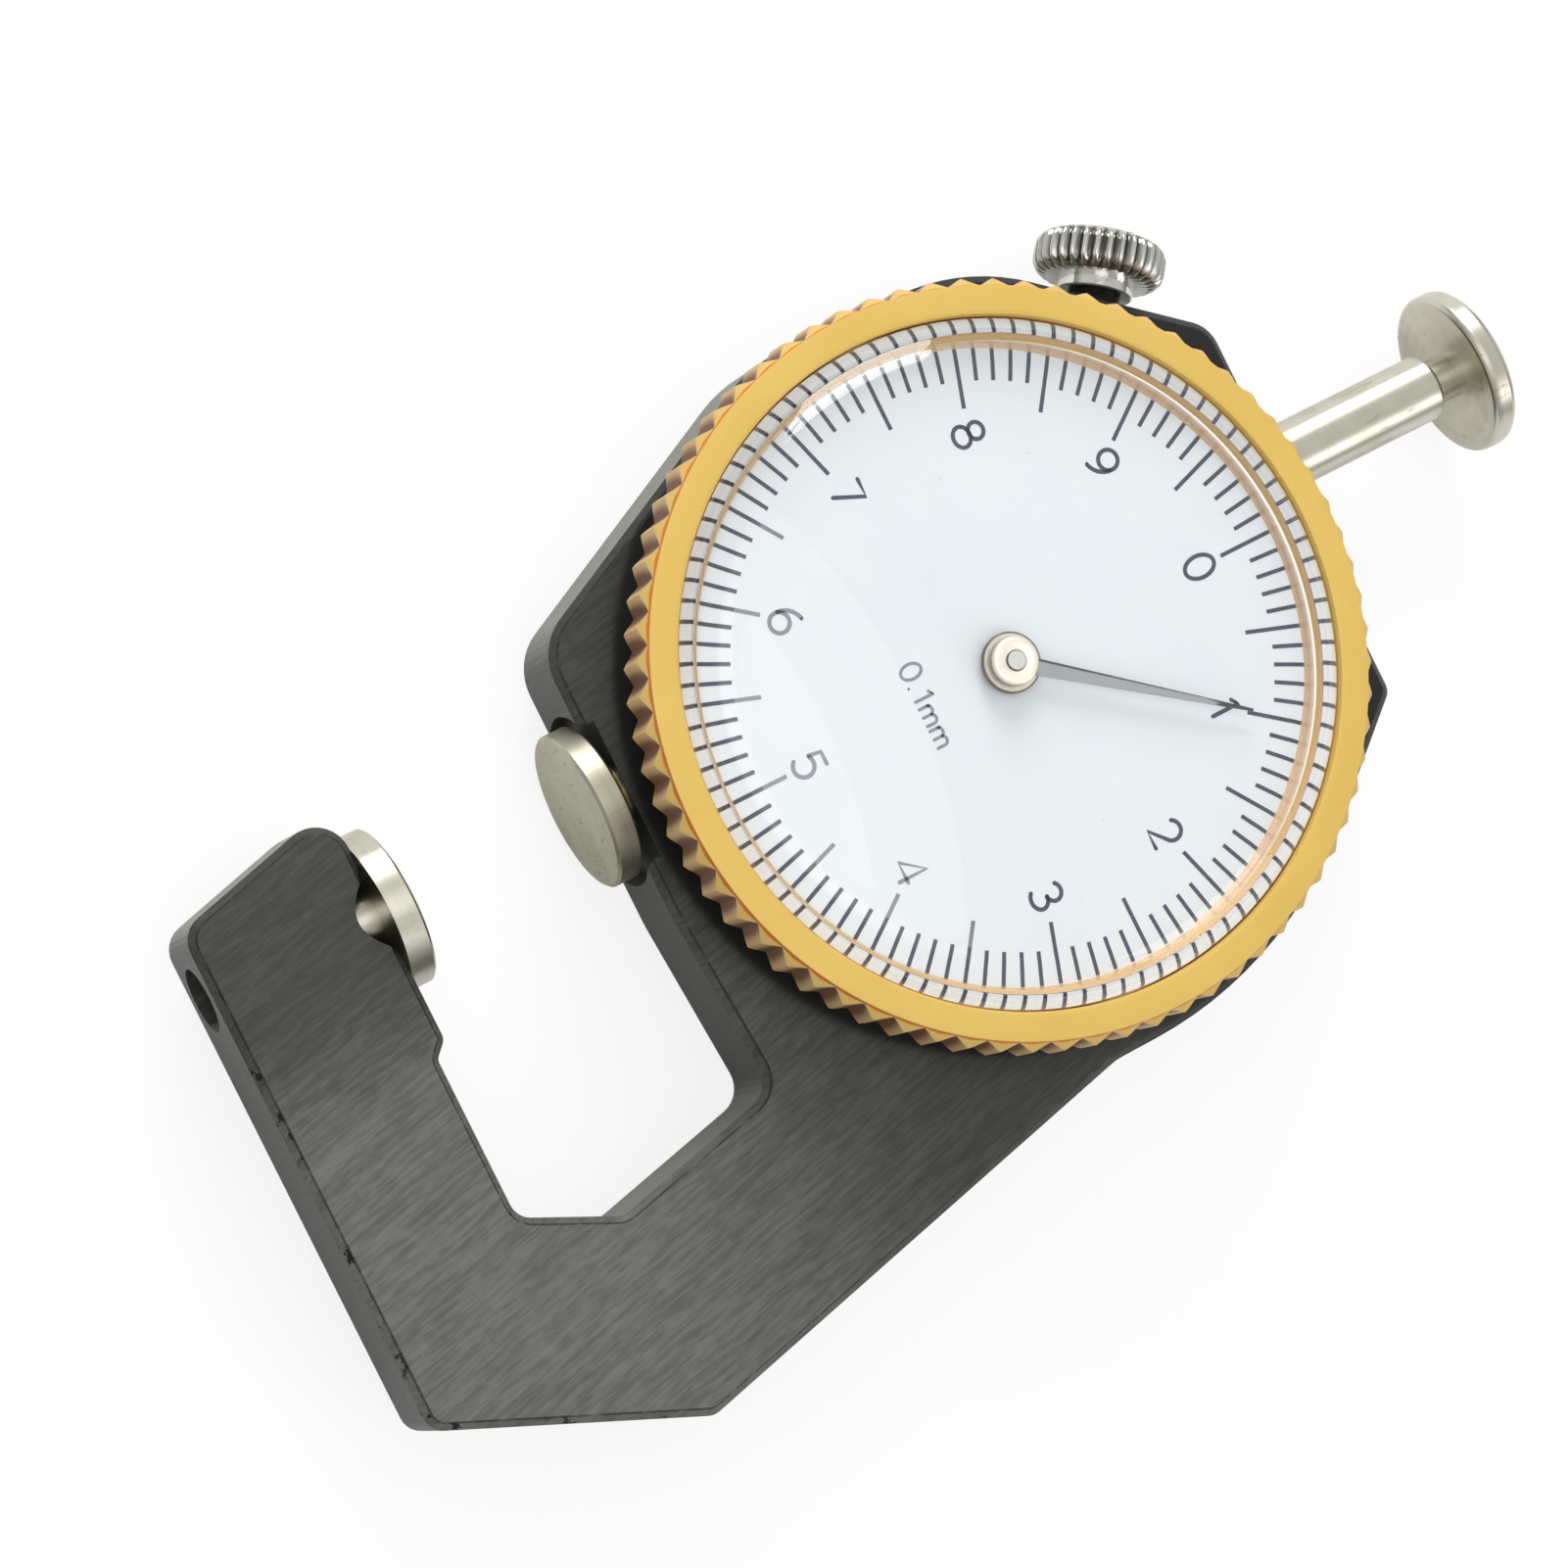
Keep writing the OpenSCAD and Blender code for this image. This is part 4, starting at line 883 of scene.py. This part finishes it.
@dataclass
class DialRim:
    """The grooved gold rim that turns round the dial."""

    open_r: float = 18.5
    flat_r: float = 20.1
    crest_r: float = 20.6
    groove: float = 0.48
    grooves: int = 72
    steps: int = 12
    easing: float = 0.15
    top: float = 14.0
    step: float = 0.3
    slope: float = 0.85
    under: float = 10.75
    wall_high: float = 12.6
    wall_low: float = 11.6
    skirt_r: float = 17.9
    skirt_in: float = 17.2
    skirt_z: float = 8.7
    ledge: float = 11.3
    wire_r: float = 17.65
    wire_low: float = 8.95
    wire_high: float = 9.65
    gold: SatinGold = SatinGold()

    def surface(self) -> Shape:
        """Returns the rim.

        The outer radius follows R(t) = crest - groove g(t), where g is a triangle wave with its
        corners eased by a sine. A profile point is (a + f (R - flat), z + s f (R - flat)), with
        f = 0 inside the chamfer, from 0 to 1 over it and 1 on the wall. A row is (a, f, z, s,
        shade_brown), the last being the share of painted shade.
        """
        turn = turns(self.grooves * self.steps)
        wave = 1 - np.abs(2 * ((turn * self.grooves / (2 * np.pi)) % 1) - 1)
        eased = wave - self.easing * np.sin(2 * np.pi * wave) / (2 * np.pi)
        reach = self.crest_r - self.groove * eased - self.flat_r
        low, down = self.top - self.step, -self.slope
        o, f, s, w = self.open_r, self.flat_r, self.skirt_r, self.wire_r
        top, under = self.top, self.under
        rows = [
            (o, 0, self.ledge, 0, 0.2), (o, 0, top - 0.15, 0, 0.1),
            (o + 0.04, 0, top - 0.04, 0, 0.1), (o + 0.14, 0, top, 0, 0), (o + 0.3, 0, top, 0, 0),
            (f - 0.14, 0, top, 0, 0), (f - 0.04, 0, top - 0.02, 0, 0), (f, 0, top - 0.08, 0, 0.1),
            (f, 0, low + 0.05, 0, 0.1), (f + 0.02, 0, low, 0, 0.1), (f, 0.3, low, down, 0.15),
            (f, 0.9, low, down, 0.25), (f, 0.985, low - 0.01, down, 0.4),
            (f, 1, low - 0.05, down, 0.6), (f, 1, self.wall_high, 0, 0.75),
            (f, 1, self.wall_low, 0, 0.8), (f, 1, under + 0.12, 0, 0.75),
            (f - 0.06, 1, under + 0.03, 0, 0.8), (f - 0.18, 1, under, 0, 0.8),
            (s, 0, under, 0, 0.6), (s, 0, self.wire_high, 0, 0.3),
            (w, 0, self.wire_high, 0, 0.3), (w, 0, self.wire_low, 0, 0.3),
            (s, 0, self.wire_low, 0, 0.3), (s, 0, self.skirt_z, 0, 0.3),
            (self.skirt_in, 0, self.skirt_z, 0, 0.3), (self.skirt_in, 0, self.ledge, 0, 0.3),
        ]
        base, share, height, fall, shade_brown = (np.array(c, float)[:, None] for c in zip(*rows))
        run = share * reach
        shape = woven(turned(base + run, 0.0, height + fall * run, turn), True, True)
        # Painted shade: on the outer wall it grows towards the groove bottoms.
        shape.carried["shade_brown"] = (shade_brown * (0.3 + 1.3 * np.where(share > 0.95, eased, 0.5))).ravel()
        orange = (share < 0.01) & (base > f - 0.01) & (height > low - 0.01)
        shape.carried["line"] = (orange + 0.0 * turn).ravel()
        return shape

    def build(self) -> None:
        """Makes the rim."""
        make_piece(
            "rim_ring", self.surface(), self.gold.material(), "dial_rim",
            ["bezel"], 28.0,
        )


@dataclass
class Crystal:
    """The clear domed crystal over the dial."""

    outer_r: float = 18.45
    wall: float = 1.25
    height: float = 3.8
    crown: float = 0.5
    rounding: float = 2.3
    shoulder_w: float = 2.6
    inner_ease: float = 0.25
    foot: float = 12.03
    steps: int = 192
    bend_steps: int = 22
    bare_most: float = 0.7
    bare_slope: float = 1.5
    bare_share: float = 0.55
    clear: ClearCrystal = ClearCrystal()
    rim_reflection: RimReflectionPaint = RimReflectionPaint()

    def side(self, radius: float, width: float, drop: float) -> np.ndarray:
        """Returns one side of the wall: an upright, a quarter ellipse and a crown to the axis.

        The ellipse starts at the upright's end and rises by the rounding less the drop. The
        crown is z = top - crown s^2, with s from 1 to 0 over the radius inside the shoulder.
        """
        low = self.height - self.crown - self.rounding
        rise = self.rounding - drop
        upright = np.array([[radius, 0.0], [radius, low * 0.5]])
        bend = arc((radius - width, low), (width, rise), 0, 90, self.bend_steps)
        s = np.linspace(1, 0, self.bend_steps)[1:]
        dome = np.stack([(radius - width) * s, low + rise + self.crown * (1 - s * s)], axis=-1)
        return np.concatenate([upright, bend, dome])

    def build(self) -> None:
        """Makes the crystal as one closed shell, with amber on its outer upright wall.

        The amber is a painted reflection of the gold rim. It is laid unevenly: it fills the whole
        wall towards +Y and only the upper part of it towards -Y.
        """
        outside = self.side(self.outer_r, self.shoulder_w, 0.0)
        width = self.shoulder_w - self.wall + self.inner_ease
        inside = self.side(self.outer_r - self.wall, width, self.wall)
        profile = np.concatenate([outside, inside[::-1], outside[:1]])
        profile[:, 1] += self.foot
        dome = make_piece(
            "crystal_dome", spun(profile, self.steps), self.clear.material(), "dial_rim",
            ["crystal"], 50.0,
        )
        # The second material paints the gold rim's reflection on the outer upright wall.
        dome.data.materials.append(self.rim_reflection.material())
        count = len(dome.data.polygons)
        middle, normal = np.empty(count * 3), np.empty(count * 3)
        dome.data.polygons.foreach_get("center", middle)
        dome.data.polygons.foreach_get("normal", normal)
        radius = np.hypot(middle[0::3], middle[1::3]) / MM
        bare = np.clip(self.bare_most - self.bare_slope * middle[1::3] / MM / radius, 0, 1)
        upright = self.height - self.crown - self.rounding
        upper = middle[2::3] / MM > self.foot + self.bare_share * bare * upright
        edge = (radius > self.outer_r - 0.05) & (np.abs(normal[2::3]) < 0.3) & upper
        dome.data.polygons.foreach_set("material_index", edge.astype(np.int32))


CURVE_STEPS = 29


class Glyph(Enum):
    """Width and strokes of a figure in a box one high.

    A stroke is an arc (x, y, rx, ry, from, to, and points that follow it) or a run of points.
    """

    ZERO = (0.66, [(0.33, 0.5, 0.33, 0.5, 0, 360)])
    ONE = (0.5, [((0.1, 0.78), (0.34, 1.0), (0.34, 0.0))])
    TWO = (0.66, [(0.33, 0.69, 0.3, 0.31, 165, -38, (0.03, 0.0), (0.66, 0.0))])
    THREE = (0.64, [(0.3, 0.75, 0.27, 0.25, 155, -95), (0.3, 0.26, 0.32, 0.26, 95, -155)])
    FOUR = (0.7, [((0.52, 0.0), (0.52, 1.0), (0.0, 0.3), (0.7, 0.3))])
    FIVE = (0.64, [((0.58, 1.0), (0.13, 1.0), (0.07, 0.54)), (0.29, 0.33, 0.32, 0.33, 133, -150)])
    SIX = (0.66, [(0.33, 0.31, 0.31, 0.31, 0, 360), (0.66, 0.35, 0.64, 0.65, 100, 182)])
    SEVEN = (0.64, [((0.02, 1.0), (0.64, 1.0), (0.24, 0.0))])
    EIGHT = (0.66, [(0.33, 0.76, 0.26, 0.24, 0, 360), (0.33, 0.27, 0.32, 0.27, 0, 360)])
    NINE = (0.66, [(0.33, 0.69, 0.31, 0.31, 0, 360), (0.0, 0.65, 0.64, 0.65, -80, 2)])
    POINT = (0.2, [((0.1, 0.0), (0.1, 0.06), (0.1, 0.12))])
    EM = (
        0.84,
        [
            ((0.0, 0.0), (0.0, 0.62)),
            (0.2, 0.42, 0.2, 0.2, 180, 0, (0.4, 0.0)),
            (0.6, 0.42, 0.2, 0.2, 180, 0, (0.8, 0.0)),
        ],
    )

    def strokes(self, height: float, width: float, low: float, high: float) -> Shape:
        """Returns the figure's strokes at their size, with the figure's middle at the origin.

        Args:
            height: Height of a full figure.
            width: Width of the pen.
            low: Height of the strokes' underside.
            high: Height of their top.

        Returns:
            The strokes as one shape.
        """
        across, strokes = self.value
        made = []
        for stroke in strokes:
            if isinstance(stroke[0], tuple):
                line, closed = np.array(stroke, float), False
            else:
                line = arc(stroke[0:2], stroke[2:4], stroke[4], stroke[5], CURVE_STEPS)
                line = np.concatenate([line, np.array(stroke[6:], float).reshape(-1, 2)])
                closed = abs(stroke[5] - stroke[4]) == 360
            line = (line[:-1] if closed else line) - np.array([across / 2, 0.5])
            made.append(ribbon(line * height, width, low, high, closed))
        return together(made)


@dataclass
class DialPrint:
    """The dial plate with its hundred graduations, ten figures and the unit."""

    face: float = 12.0
    ink_t: float = 0.015
    minor_r: float = 15.23
    major_r: float = 13.78
    outer_r: float = 18.28
    line_w: float = 0.22
    figure_r: float = 12.4
    figure_h: float = 1.8
    pen: float = 0.23
    unit_h: float = 1.22
    unit_pen: float = 0.17
    unit_y: float = -5.05
    unit_gap: float = 0.2
    paint: DialEnamel = DialEnamel()
    navy: Ink = Ink("dial_ink", tint(36, 41, 64), tint(56, 62, 88))
    grey: Ink = Ink("dial_ink_grey", tint(128, 132, 140), tint(150, 155, 162))

    def graduations(self) -> Shape:
        """Returns a hundred flat bars, each a box turned to its own angle clockwise from +Y."""
        index = np.arange(100)[:, None]
        inner = np.where(index % 5 == 0, self.major_r, self.minor_r)
        far, side = np.array([0, 1, 1, 0] * 2), np.array([-1, -1, 1, 1] * 2)
        points = turned(
            inner + (self.outer_r - inner) * far, side * self.line_w / 2,
            self.face + np.repeat([0, 1], 4) * self.ink_t, np.radians(90 - 3.6 * index),
        )
        box = np.array(
            [[0, 3, 2, 1], [4, 5, 6, 7], [0, 1, 5, 4], [1, 2, 6, 5], [2, 3, 7, 6], [3, 0, 4, 7]]
        )
        return Shape(points.reshape(-1, 3), (box + 8 * index[:, None]).reshape(-1, 4))

    def printed(self, row: Sequence[Glyph], places: np.ndarray, height: float, pen: float) -> Shape:
        """Returns figures of one height and pen, each with its middle at its own place."""
        made = [glyph.strokes(height, pen, self.face, self.face + self.ink_t) for glyph in row]
        for shape, place in zip(made, places):
            shape.points += place
        return together(made)

    def figures(self) -> Shape:
        """Returns the ten figures, upright on the dial, a tenth of a turn apart clockwise."""
        places = turned(self.figure_r, 0.0, 0.0, np.radians(90 - 36 * np.arange(10)))
        return self.printed(list(Glyph)[:10], places, self.figure_h, self.pen)

    def unit(self) -> Shape:
        """Returns the unit under the hub, set from left to right round the dial's middle."""
        row = [Glyph.ZERO, Glyph.POINT, Glyph.ONE, Glyph.EM, Glyph.EM]
        widths = np.array([glyph.value[0] for glyph in row])
        pitch = widths + self.unit_gap
        middle = np.cumsum(pitch) - pitch + widths / 2 - (np.sum(pitch) - self.unit_gap) / 2
        places = turned(middle * self.unit_h, self.unit_y, 0.0, 0.0)
        return self.printed(row, places, self.unit_h, self.unit_pen)

    def build(self) -> None:
        """Dresses the dial and makes its printing."""
        dress(["dial_plate"], self.paint.material())
        dress(["dial_gasket"], Fibre().material())
        navy = self.navy.material()
        make_piece("dial_graduations", self.graduations(), navy, "dial_rim")
        make_piece("dial_figures", self.figures(), navy, "dial_rim")
        make_piece("dial_unit", self.unit(), self.grey.material(), "dial_rim")


@dataclass
class HubAndHand:
    """The hub on the arbor and the hand under its cap."""

    base_z: float = 12.45
    height: float = 1.0
    pin_r: float = 0.5
    flange_r: float = 1.65
    flange_t: float = 0.3
    seat_r: float = 0.85
    cap_r: float = 1.28
    hand_t: float = 0.15
    hand_l: float = 13.75
    hand_w: float = 0.9
    tip_w: float = 0.14
    hand_turn: float = 54.0
    cap_round: float = 0.16
    lip_round: float = 0.08
    steps: int = 96
    ring_steps: int = 64
    hand_steps: int = 24
    ink_from: float = 0.8
    ink_run: float = 0.1
    plated: TurnedMetal = TurnedMetal(
        "hub_plating", tint(250, 243, 226), tint(214, 206, 188), 0.34, Turned.DIAL, 7000.0, 0.003,
        tint(96, 86, 76),
    )
    paint: HandPaint = HandPaint()

    def hub(self) -> Shape:
        """Returns the hub: a flange, a waist and a cap with eased edges, turned round the arbor."""
        b, f, h, top = self.base_z, self.flange_t, self.hand_t, self.base_z + self.height
        p, s, c, r = self.pin_r, self.seat_r, self.cap_r, self.flange_r
        k, m = self.cap_round, self.lip_round
        profile = np.concatenate([
            [[p, b], [r - 0.05, b], [r, b + 0.05]],
            arc((r - m, b + f - m), (m, m), 0, 90, 5),
            [[r - 0.13, b + f], [c + 0.06, b + f], [s, b + f], [s, b + f + h]],
            [[c - 0.05, b + f + h], [c, b + f + h + 0.05]],
            arc((c - k, top - k), (k, k), 0, 90, 7),
            [[p + 0.12, top], [p + 0.04, top - 0.05], [p, top - 0.1], [p, b]],
        ])
        radius, z = profile[:, 0], profile[:, 1] - b
        rim = radius > r - 0.1
        waist = (radius < c + 0.01) & (z > f - 0.01) & (z < self.height - 0.3)
        ledge = (radius > c) & (z < self.height - 0.5)
        # Painted shade: darkest on the flange's outer wall and the waist, less in the pin's bore
        # and on the ledge.
        dark = np.where(rim | waist, 1.0, (radius < p + 0.1) * 0.8 + ledge * 0.35)
        shape = spun(profile, self.steps)
        shape.carried["recess"] = np.repeat(dark, self.steps)
        return shape

    def hand(self) -> Shape:
        """Returns the hand.

        A ring round the seat and a strip whose half width falls from hand_w / 2 to tip_w / 2 in
        a straight line. The strip is a grid of length and width, doubled for its two faces.
        """
        z0 = self.base_z + self.flange_t
        z1, s, c = z0 + self.hand_t, self.seat_r, self.cap_r
        hoop = spun(np.array([[s, z0], [c, z0], [c, z1], [s, z1], [s, z0]]), self.ring_steps)
        x = np.linspace(s + 0.2, self.hand_l, self.hand_steps)
        half = np.interp(x, x[[0, -1]], [self.hand_w / 2, self.tip_w / 2])
        across = np.array([-1.0, -0.4, 0.4, 1.0, 1.0, 0.4, -0.4, -1.0])
        turn = math.radians(self.hand_turn)
        strip = turned(x[:, None], half[:, None] * across, np.repeat([z0, z1], 4), turn)
        blade = woven(strip, False, True)
        caps = np.array([[0, 1, 6, 7], [1, 2, 5, 6], [2, 3, 4, 5]])
        blade.faces = np.concatenate([blade.faces, caps, caps + len(blade.points) - 8])
        ink = np.clip((x[:, None] / self.hand_l - self.ink_from) / self.ink_run, 0, 1)
        # Painted shade along the far long side.
        shade = np.maximum((across > 0.9) * 1.0, ink)
        shape = together([hoop, blade])
        shape.carried["edge"] = np.concatenate([np.zeros(len(hoop.points)), shade.ravel()])
        return shape

    def build(self) -> None:
        """Makes the hub and the hand."""
        for name, shape, finish, slot, node in (
            ("hub_cap", self.hub(), self.plated, "plated_screw", "hand_hub"),
            ("hand_strip", self.hand(), self.paint, "hand_grey", "hand"),
        ):
            make_piece(name, shape, finish.material(), "pointer", [node], 35.0)


@dataclass
class LockKnob:
    """The fluted chrome knob of the lock screw."""

    axis_turn: float = 142.5
    axis_side: float = 4.08
    axis_z: float = 5.1
    shoulder: float = 22.15
    gap: float = 1.7
    radius: float = 3.66
    length: float = 2.35
    flutes: int = 32
    depth: float = 0.3
    ease: float = 0.85
    collar_r: float = 2.1
    collar_h: float = 0.8
    bore_r: float = 1.45
    bore_h: float = 1.05
    crown_r: float = 1.6
    end_steps: int = 9
    fade: float = 0.4
    chamfer: float = 0.08
    steps: int = 12
    chrome: TurnedMetal = TurnedMetal(
        "bright_chrome", tint(226, 225, 218), tint(170, 168, 160), 0.14, Turned.LOCK, 9000.0, 0.004,
        tint(30, 28, 26),
    )

    def surface(self) -> Shape:
        """Returns the knob.

        Its wall is R(t) = radius - depth (1 - cos(n t)) / 2, faded out over the rounded ends by
        a power of the cosine of the end's own angle. A row of the profile is (r, z, share of the
        flutes).
        """
        turn = turns(self.flutes * self.steps)
        wave = (1 - np.cos(self.flutes * turn)) / 2
        e, top, c, h = self.ease, self.length, self.collar_r, self.collar_h
        n = self.end_steps
        bend = np.radians(np.concatenate([np.linspace(-90, 0, n), np.linspace(0, 90, n)]))
        along, out = np.repeat([e, top - e], n) + e * np.sin(bend), e * np.cos(bend)
        wall = [self.radius - e + out, along, np.cos(bend) ** self.fade]
        rows = np.concatenate([
            [[0, self.bore_h, 0], [self.bore_r, self.bore_h, 0], [self.bore_r, -h, 0]],
            [[c - self.chamfer, -h, 0], [c, self.chamfer - h, 0], [c, 0, 0]],
            np.stack(wall, axis=-1),
            [[self.crown_r, top, 0], [0, top, 0]],
        ])
        r, z, fade = rows.T[:, :, None]
        shape = woven(turned(r - self.depth * fade * wave, 0.0, z, turn), False, True)
        # Painted shade in the flute hollows, fading out over the rounded ends.
        shape.carried["recess"] = (fade * wave**1.5 * 0.92).ravel()
        return shape

    def build(self) -> None:
        """Makes the knob on the lock screw's axis."""
        turn = math.radians(self.axis_turn)
        origin = turned(self.shoulder + self.gap, -self.axis_side, self.axis_z, turn)
        place = Place(tuple(origin), (0.0, 0.0, -1.0), (-math.sin(turn), math.cos(turn), 0.0))
        make_piece(
            "knob_fluted", self.surface(), self.chrome.material(), "lock_screw",
            ["lock_knob"], 40.0, place,
        )


@dataclass
class Studio:
    """The pale floor, the soft lights and the camera at the photograph's angle."""

    lens: float = 115.0
    sensor: float = 36.0
    eye: Point = (-6.229, -98.311, 258.205)
    right: Point = (0.44510158, 0.84346611, 0.30074824)
    down: Point = (0.89512771, -0.42850381, -0.1230076)
    ahead: Point = (0.02511903, 0.32395896, -0.94573761)
    floor_reach: float = 4000.0
    floor_drop: float = 0.02
    glow: float = 1.04
    glow_share: float = 0.8
    sky_low: float = 0.22
    sky_top: float = 0.68
    overhead_sizes: tuple[float, ...] = (0.34, 0.43, 0.52)
    overhead_power: float = 0.98
    overhead_y: float = -0.07
    overhead_z: float = 0.6
    overhead_gap: float = 0.001

    def camera(self) -> None:
        """Makes the camera from its three axes and its place."""
        data = bpy.data.cameras.new("camera")
        data.lens, data.sensor_width = self.lens, self.sensor
        data.clip_start, data.clip_end = 0.005, 10.0
        camera = stand("camera", data)
        columns = [self.right, np.negative(self.down), np.negative(self.ahead)]
        rows = np.stack([*columns, np.multiply(self.eye, MM)], axis=1)
        camera.matrix_world = Matrix([*rows.tolist(), [0, 0, 0, 1]])
        bpy.context.scene.camera = camera

    def floor(self) -> None:
        """Makes the pale floor under the gauge, whitened where the camera looks at it."""
        g = Graph("floor_white")
        tone = g.blend(g.noise(60.0, 3.0), (0.9, 0.9, 0.9), (0.94, 0.94, 0.94))
        paper = g.add("ShaderNodeBsdfDiffuse", {"Color": tone})
        glow = g.add("ShaderNodeEmission", {"Color": (1.0, 1.0, 1.0), "Strength": self.glow})
        share = g.rays("Camera") * self.glow_share
        mixed = g.add("ShaderNodeMixShader", {0: share, 1: paper.outputs[0], 2: glow.outputs[0]})
        r, z = self.floor_reach * MM, -self.floor_drop * MM
        mesh = bpy.data.meshes.new("floor")
        mesh.from_pydata([(-r, -r, z), (r, -r, z), (r, r, z), (-r, r, z)], [], [(0, 1, 2, 3)])
        mesh.materials.append(g.end(mixed))
        stand("floor", mesh)

    def lights(self) -> None:
        """Makes the sky, a soft overhead light of three discs, and two lamps at the sides.

        The sky is white where the camera looks at it or through the crystal. For all else it
        rises from its level at the horizon to the one overhead with the height of the ray.
        """
        g = Graph("studio_sky", True)
        shown = g.rays("Camera", "Transmission")
        _, _, up = g.axes()
        level = up.ramp(0.0, 0.55) * (self.sky_top - self.sky_low) + self.sky_low
        strength = level * (1.0 - shown) + shown
        back = g.add("ShaderNodeBackground", {"Color": (1.0, 1.0, 1.0), "Strength": strength})
        bpy.context.scene.world = g.end(back)
        for k, size in enumerate(self.overhead_sizes):
            place = (0.0, self.overhead_y, self.overhead_z + self.overhead_gap * k)
            self.lamp(f"overhead_{k}", place, size, self.overhead_power * size * size, "DISK")
        self.lamp("key", (-0.46, 0.16, 0.26), 0.26, 1.55)
        self.lamp("right", (0.42, 0.28, 0.30), 0.24, 0.35)

    def lamp(
        self, name: str, place: Point, size: float, power: float, shape: str = "SQUARE"
    ) -> None:
        """Makes a flat area lamp that looks at the gauge.

        Args:
            name: Name of the lamp.
            place: Where it hangs, in metres.
            size: Length of its side, in metres.
            power: Its power in watts.
            shape: Its outline.
        """
        data = bpy.data.lights.new(name, "AREA")
        data.shape = shape
        data.size = size
        data.energy = power
        at = Matrix.Translation(place)
        aim = at.translation.normalized().to_track_quat("Z", "Y").to_matrix().to_4x4()
        stand(name, data).matrix_world = at @ aim

    def build(self) -> None:
        """Sets up the view, the floor, the lights and the camera."""
        bpy.context.scene.view_settings.view_transform = "Standard"
        self.camera()
        self.floor()
        self.lights()


def main() -> None:
    logging.basicConfig(level=logging.INFO, format="%(message)s")
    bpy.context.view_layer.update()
    for kind in (
        FrameAndMovement, ReturnSpring, Spindle, DialRim, Crystal, DialPrint, HubAndHand, LockKnob
    ):
        log.info("-- %s", kind.__name__)
        kind().build()
    Studio().build()
    log.info("size file written")


if __name__ == "__main__":
    main()
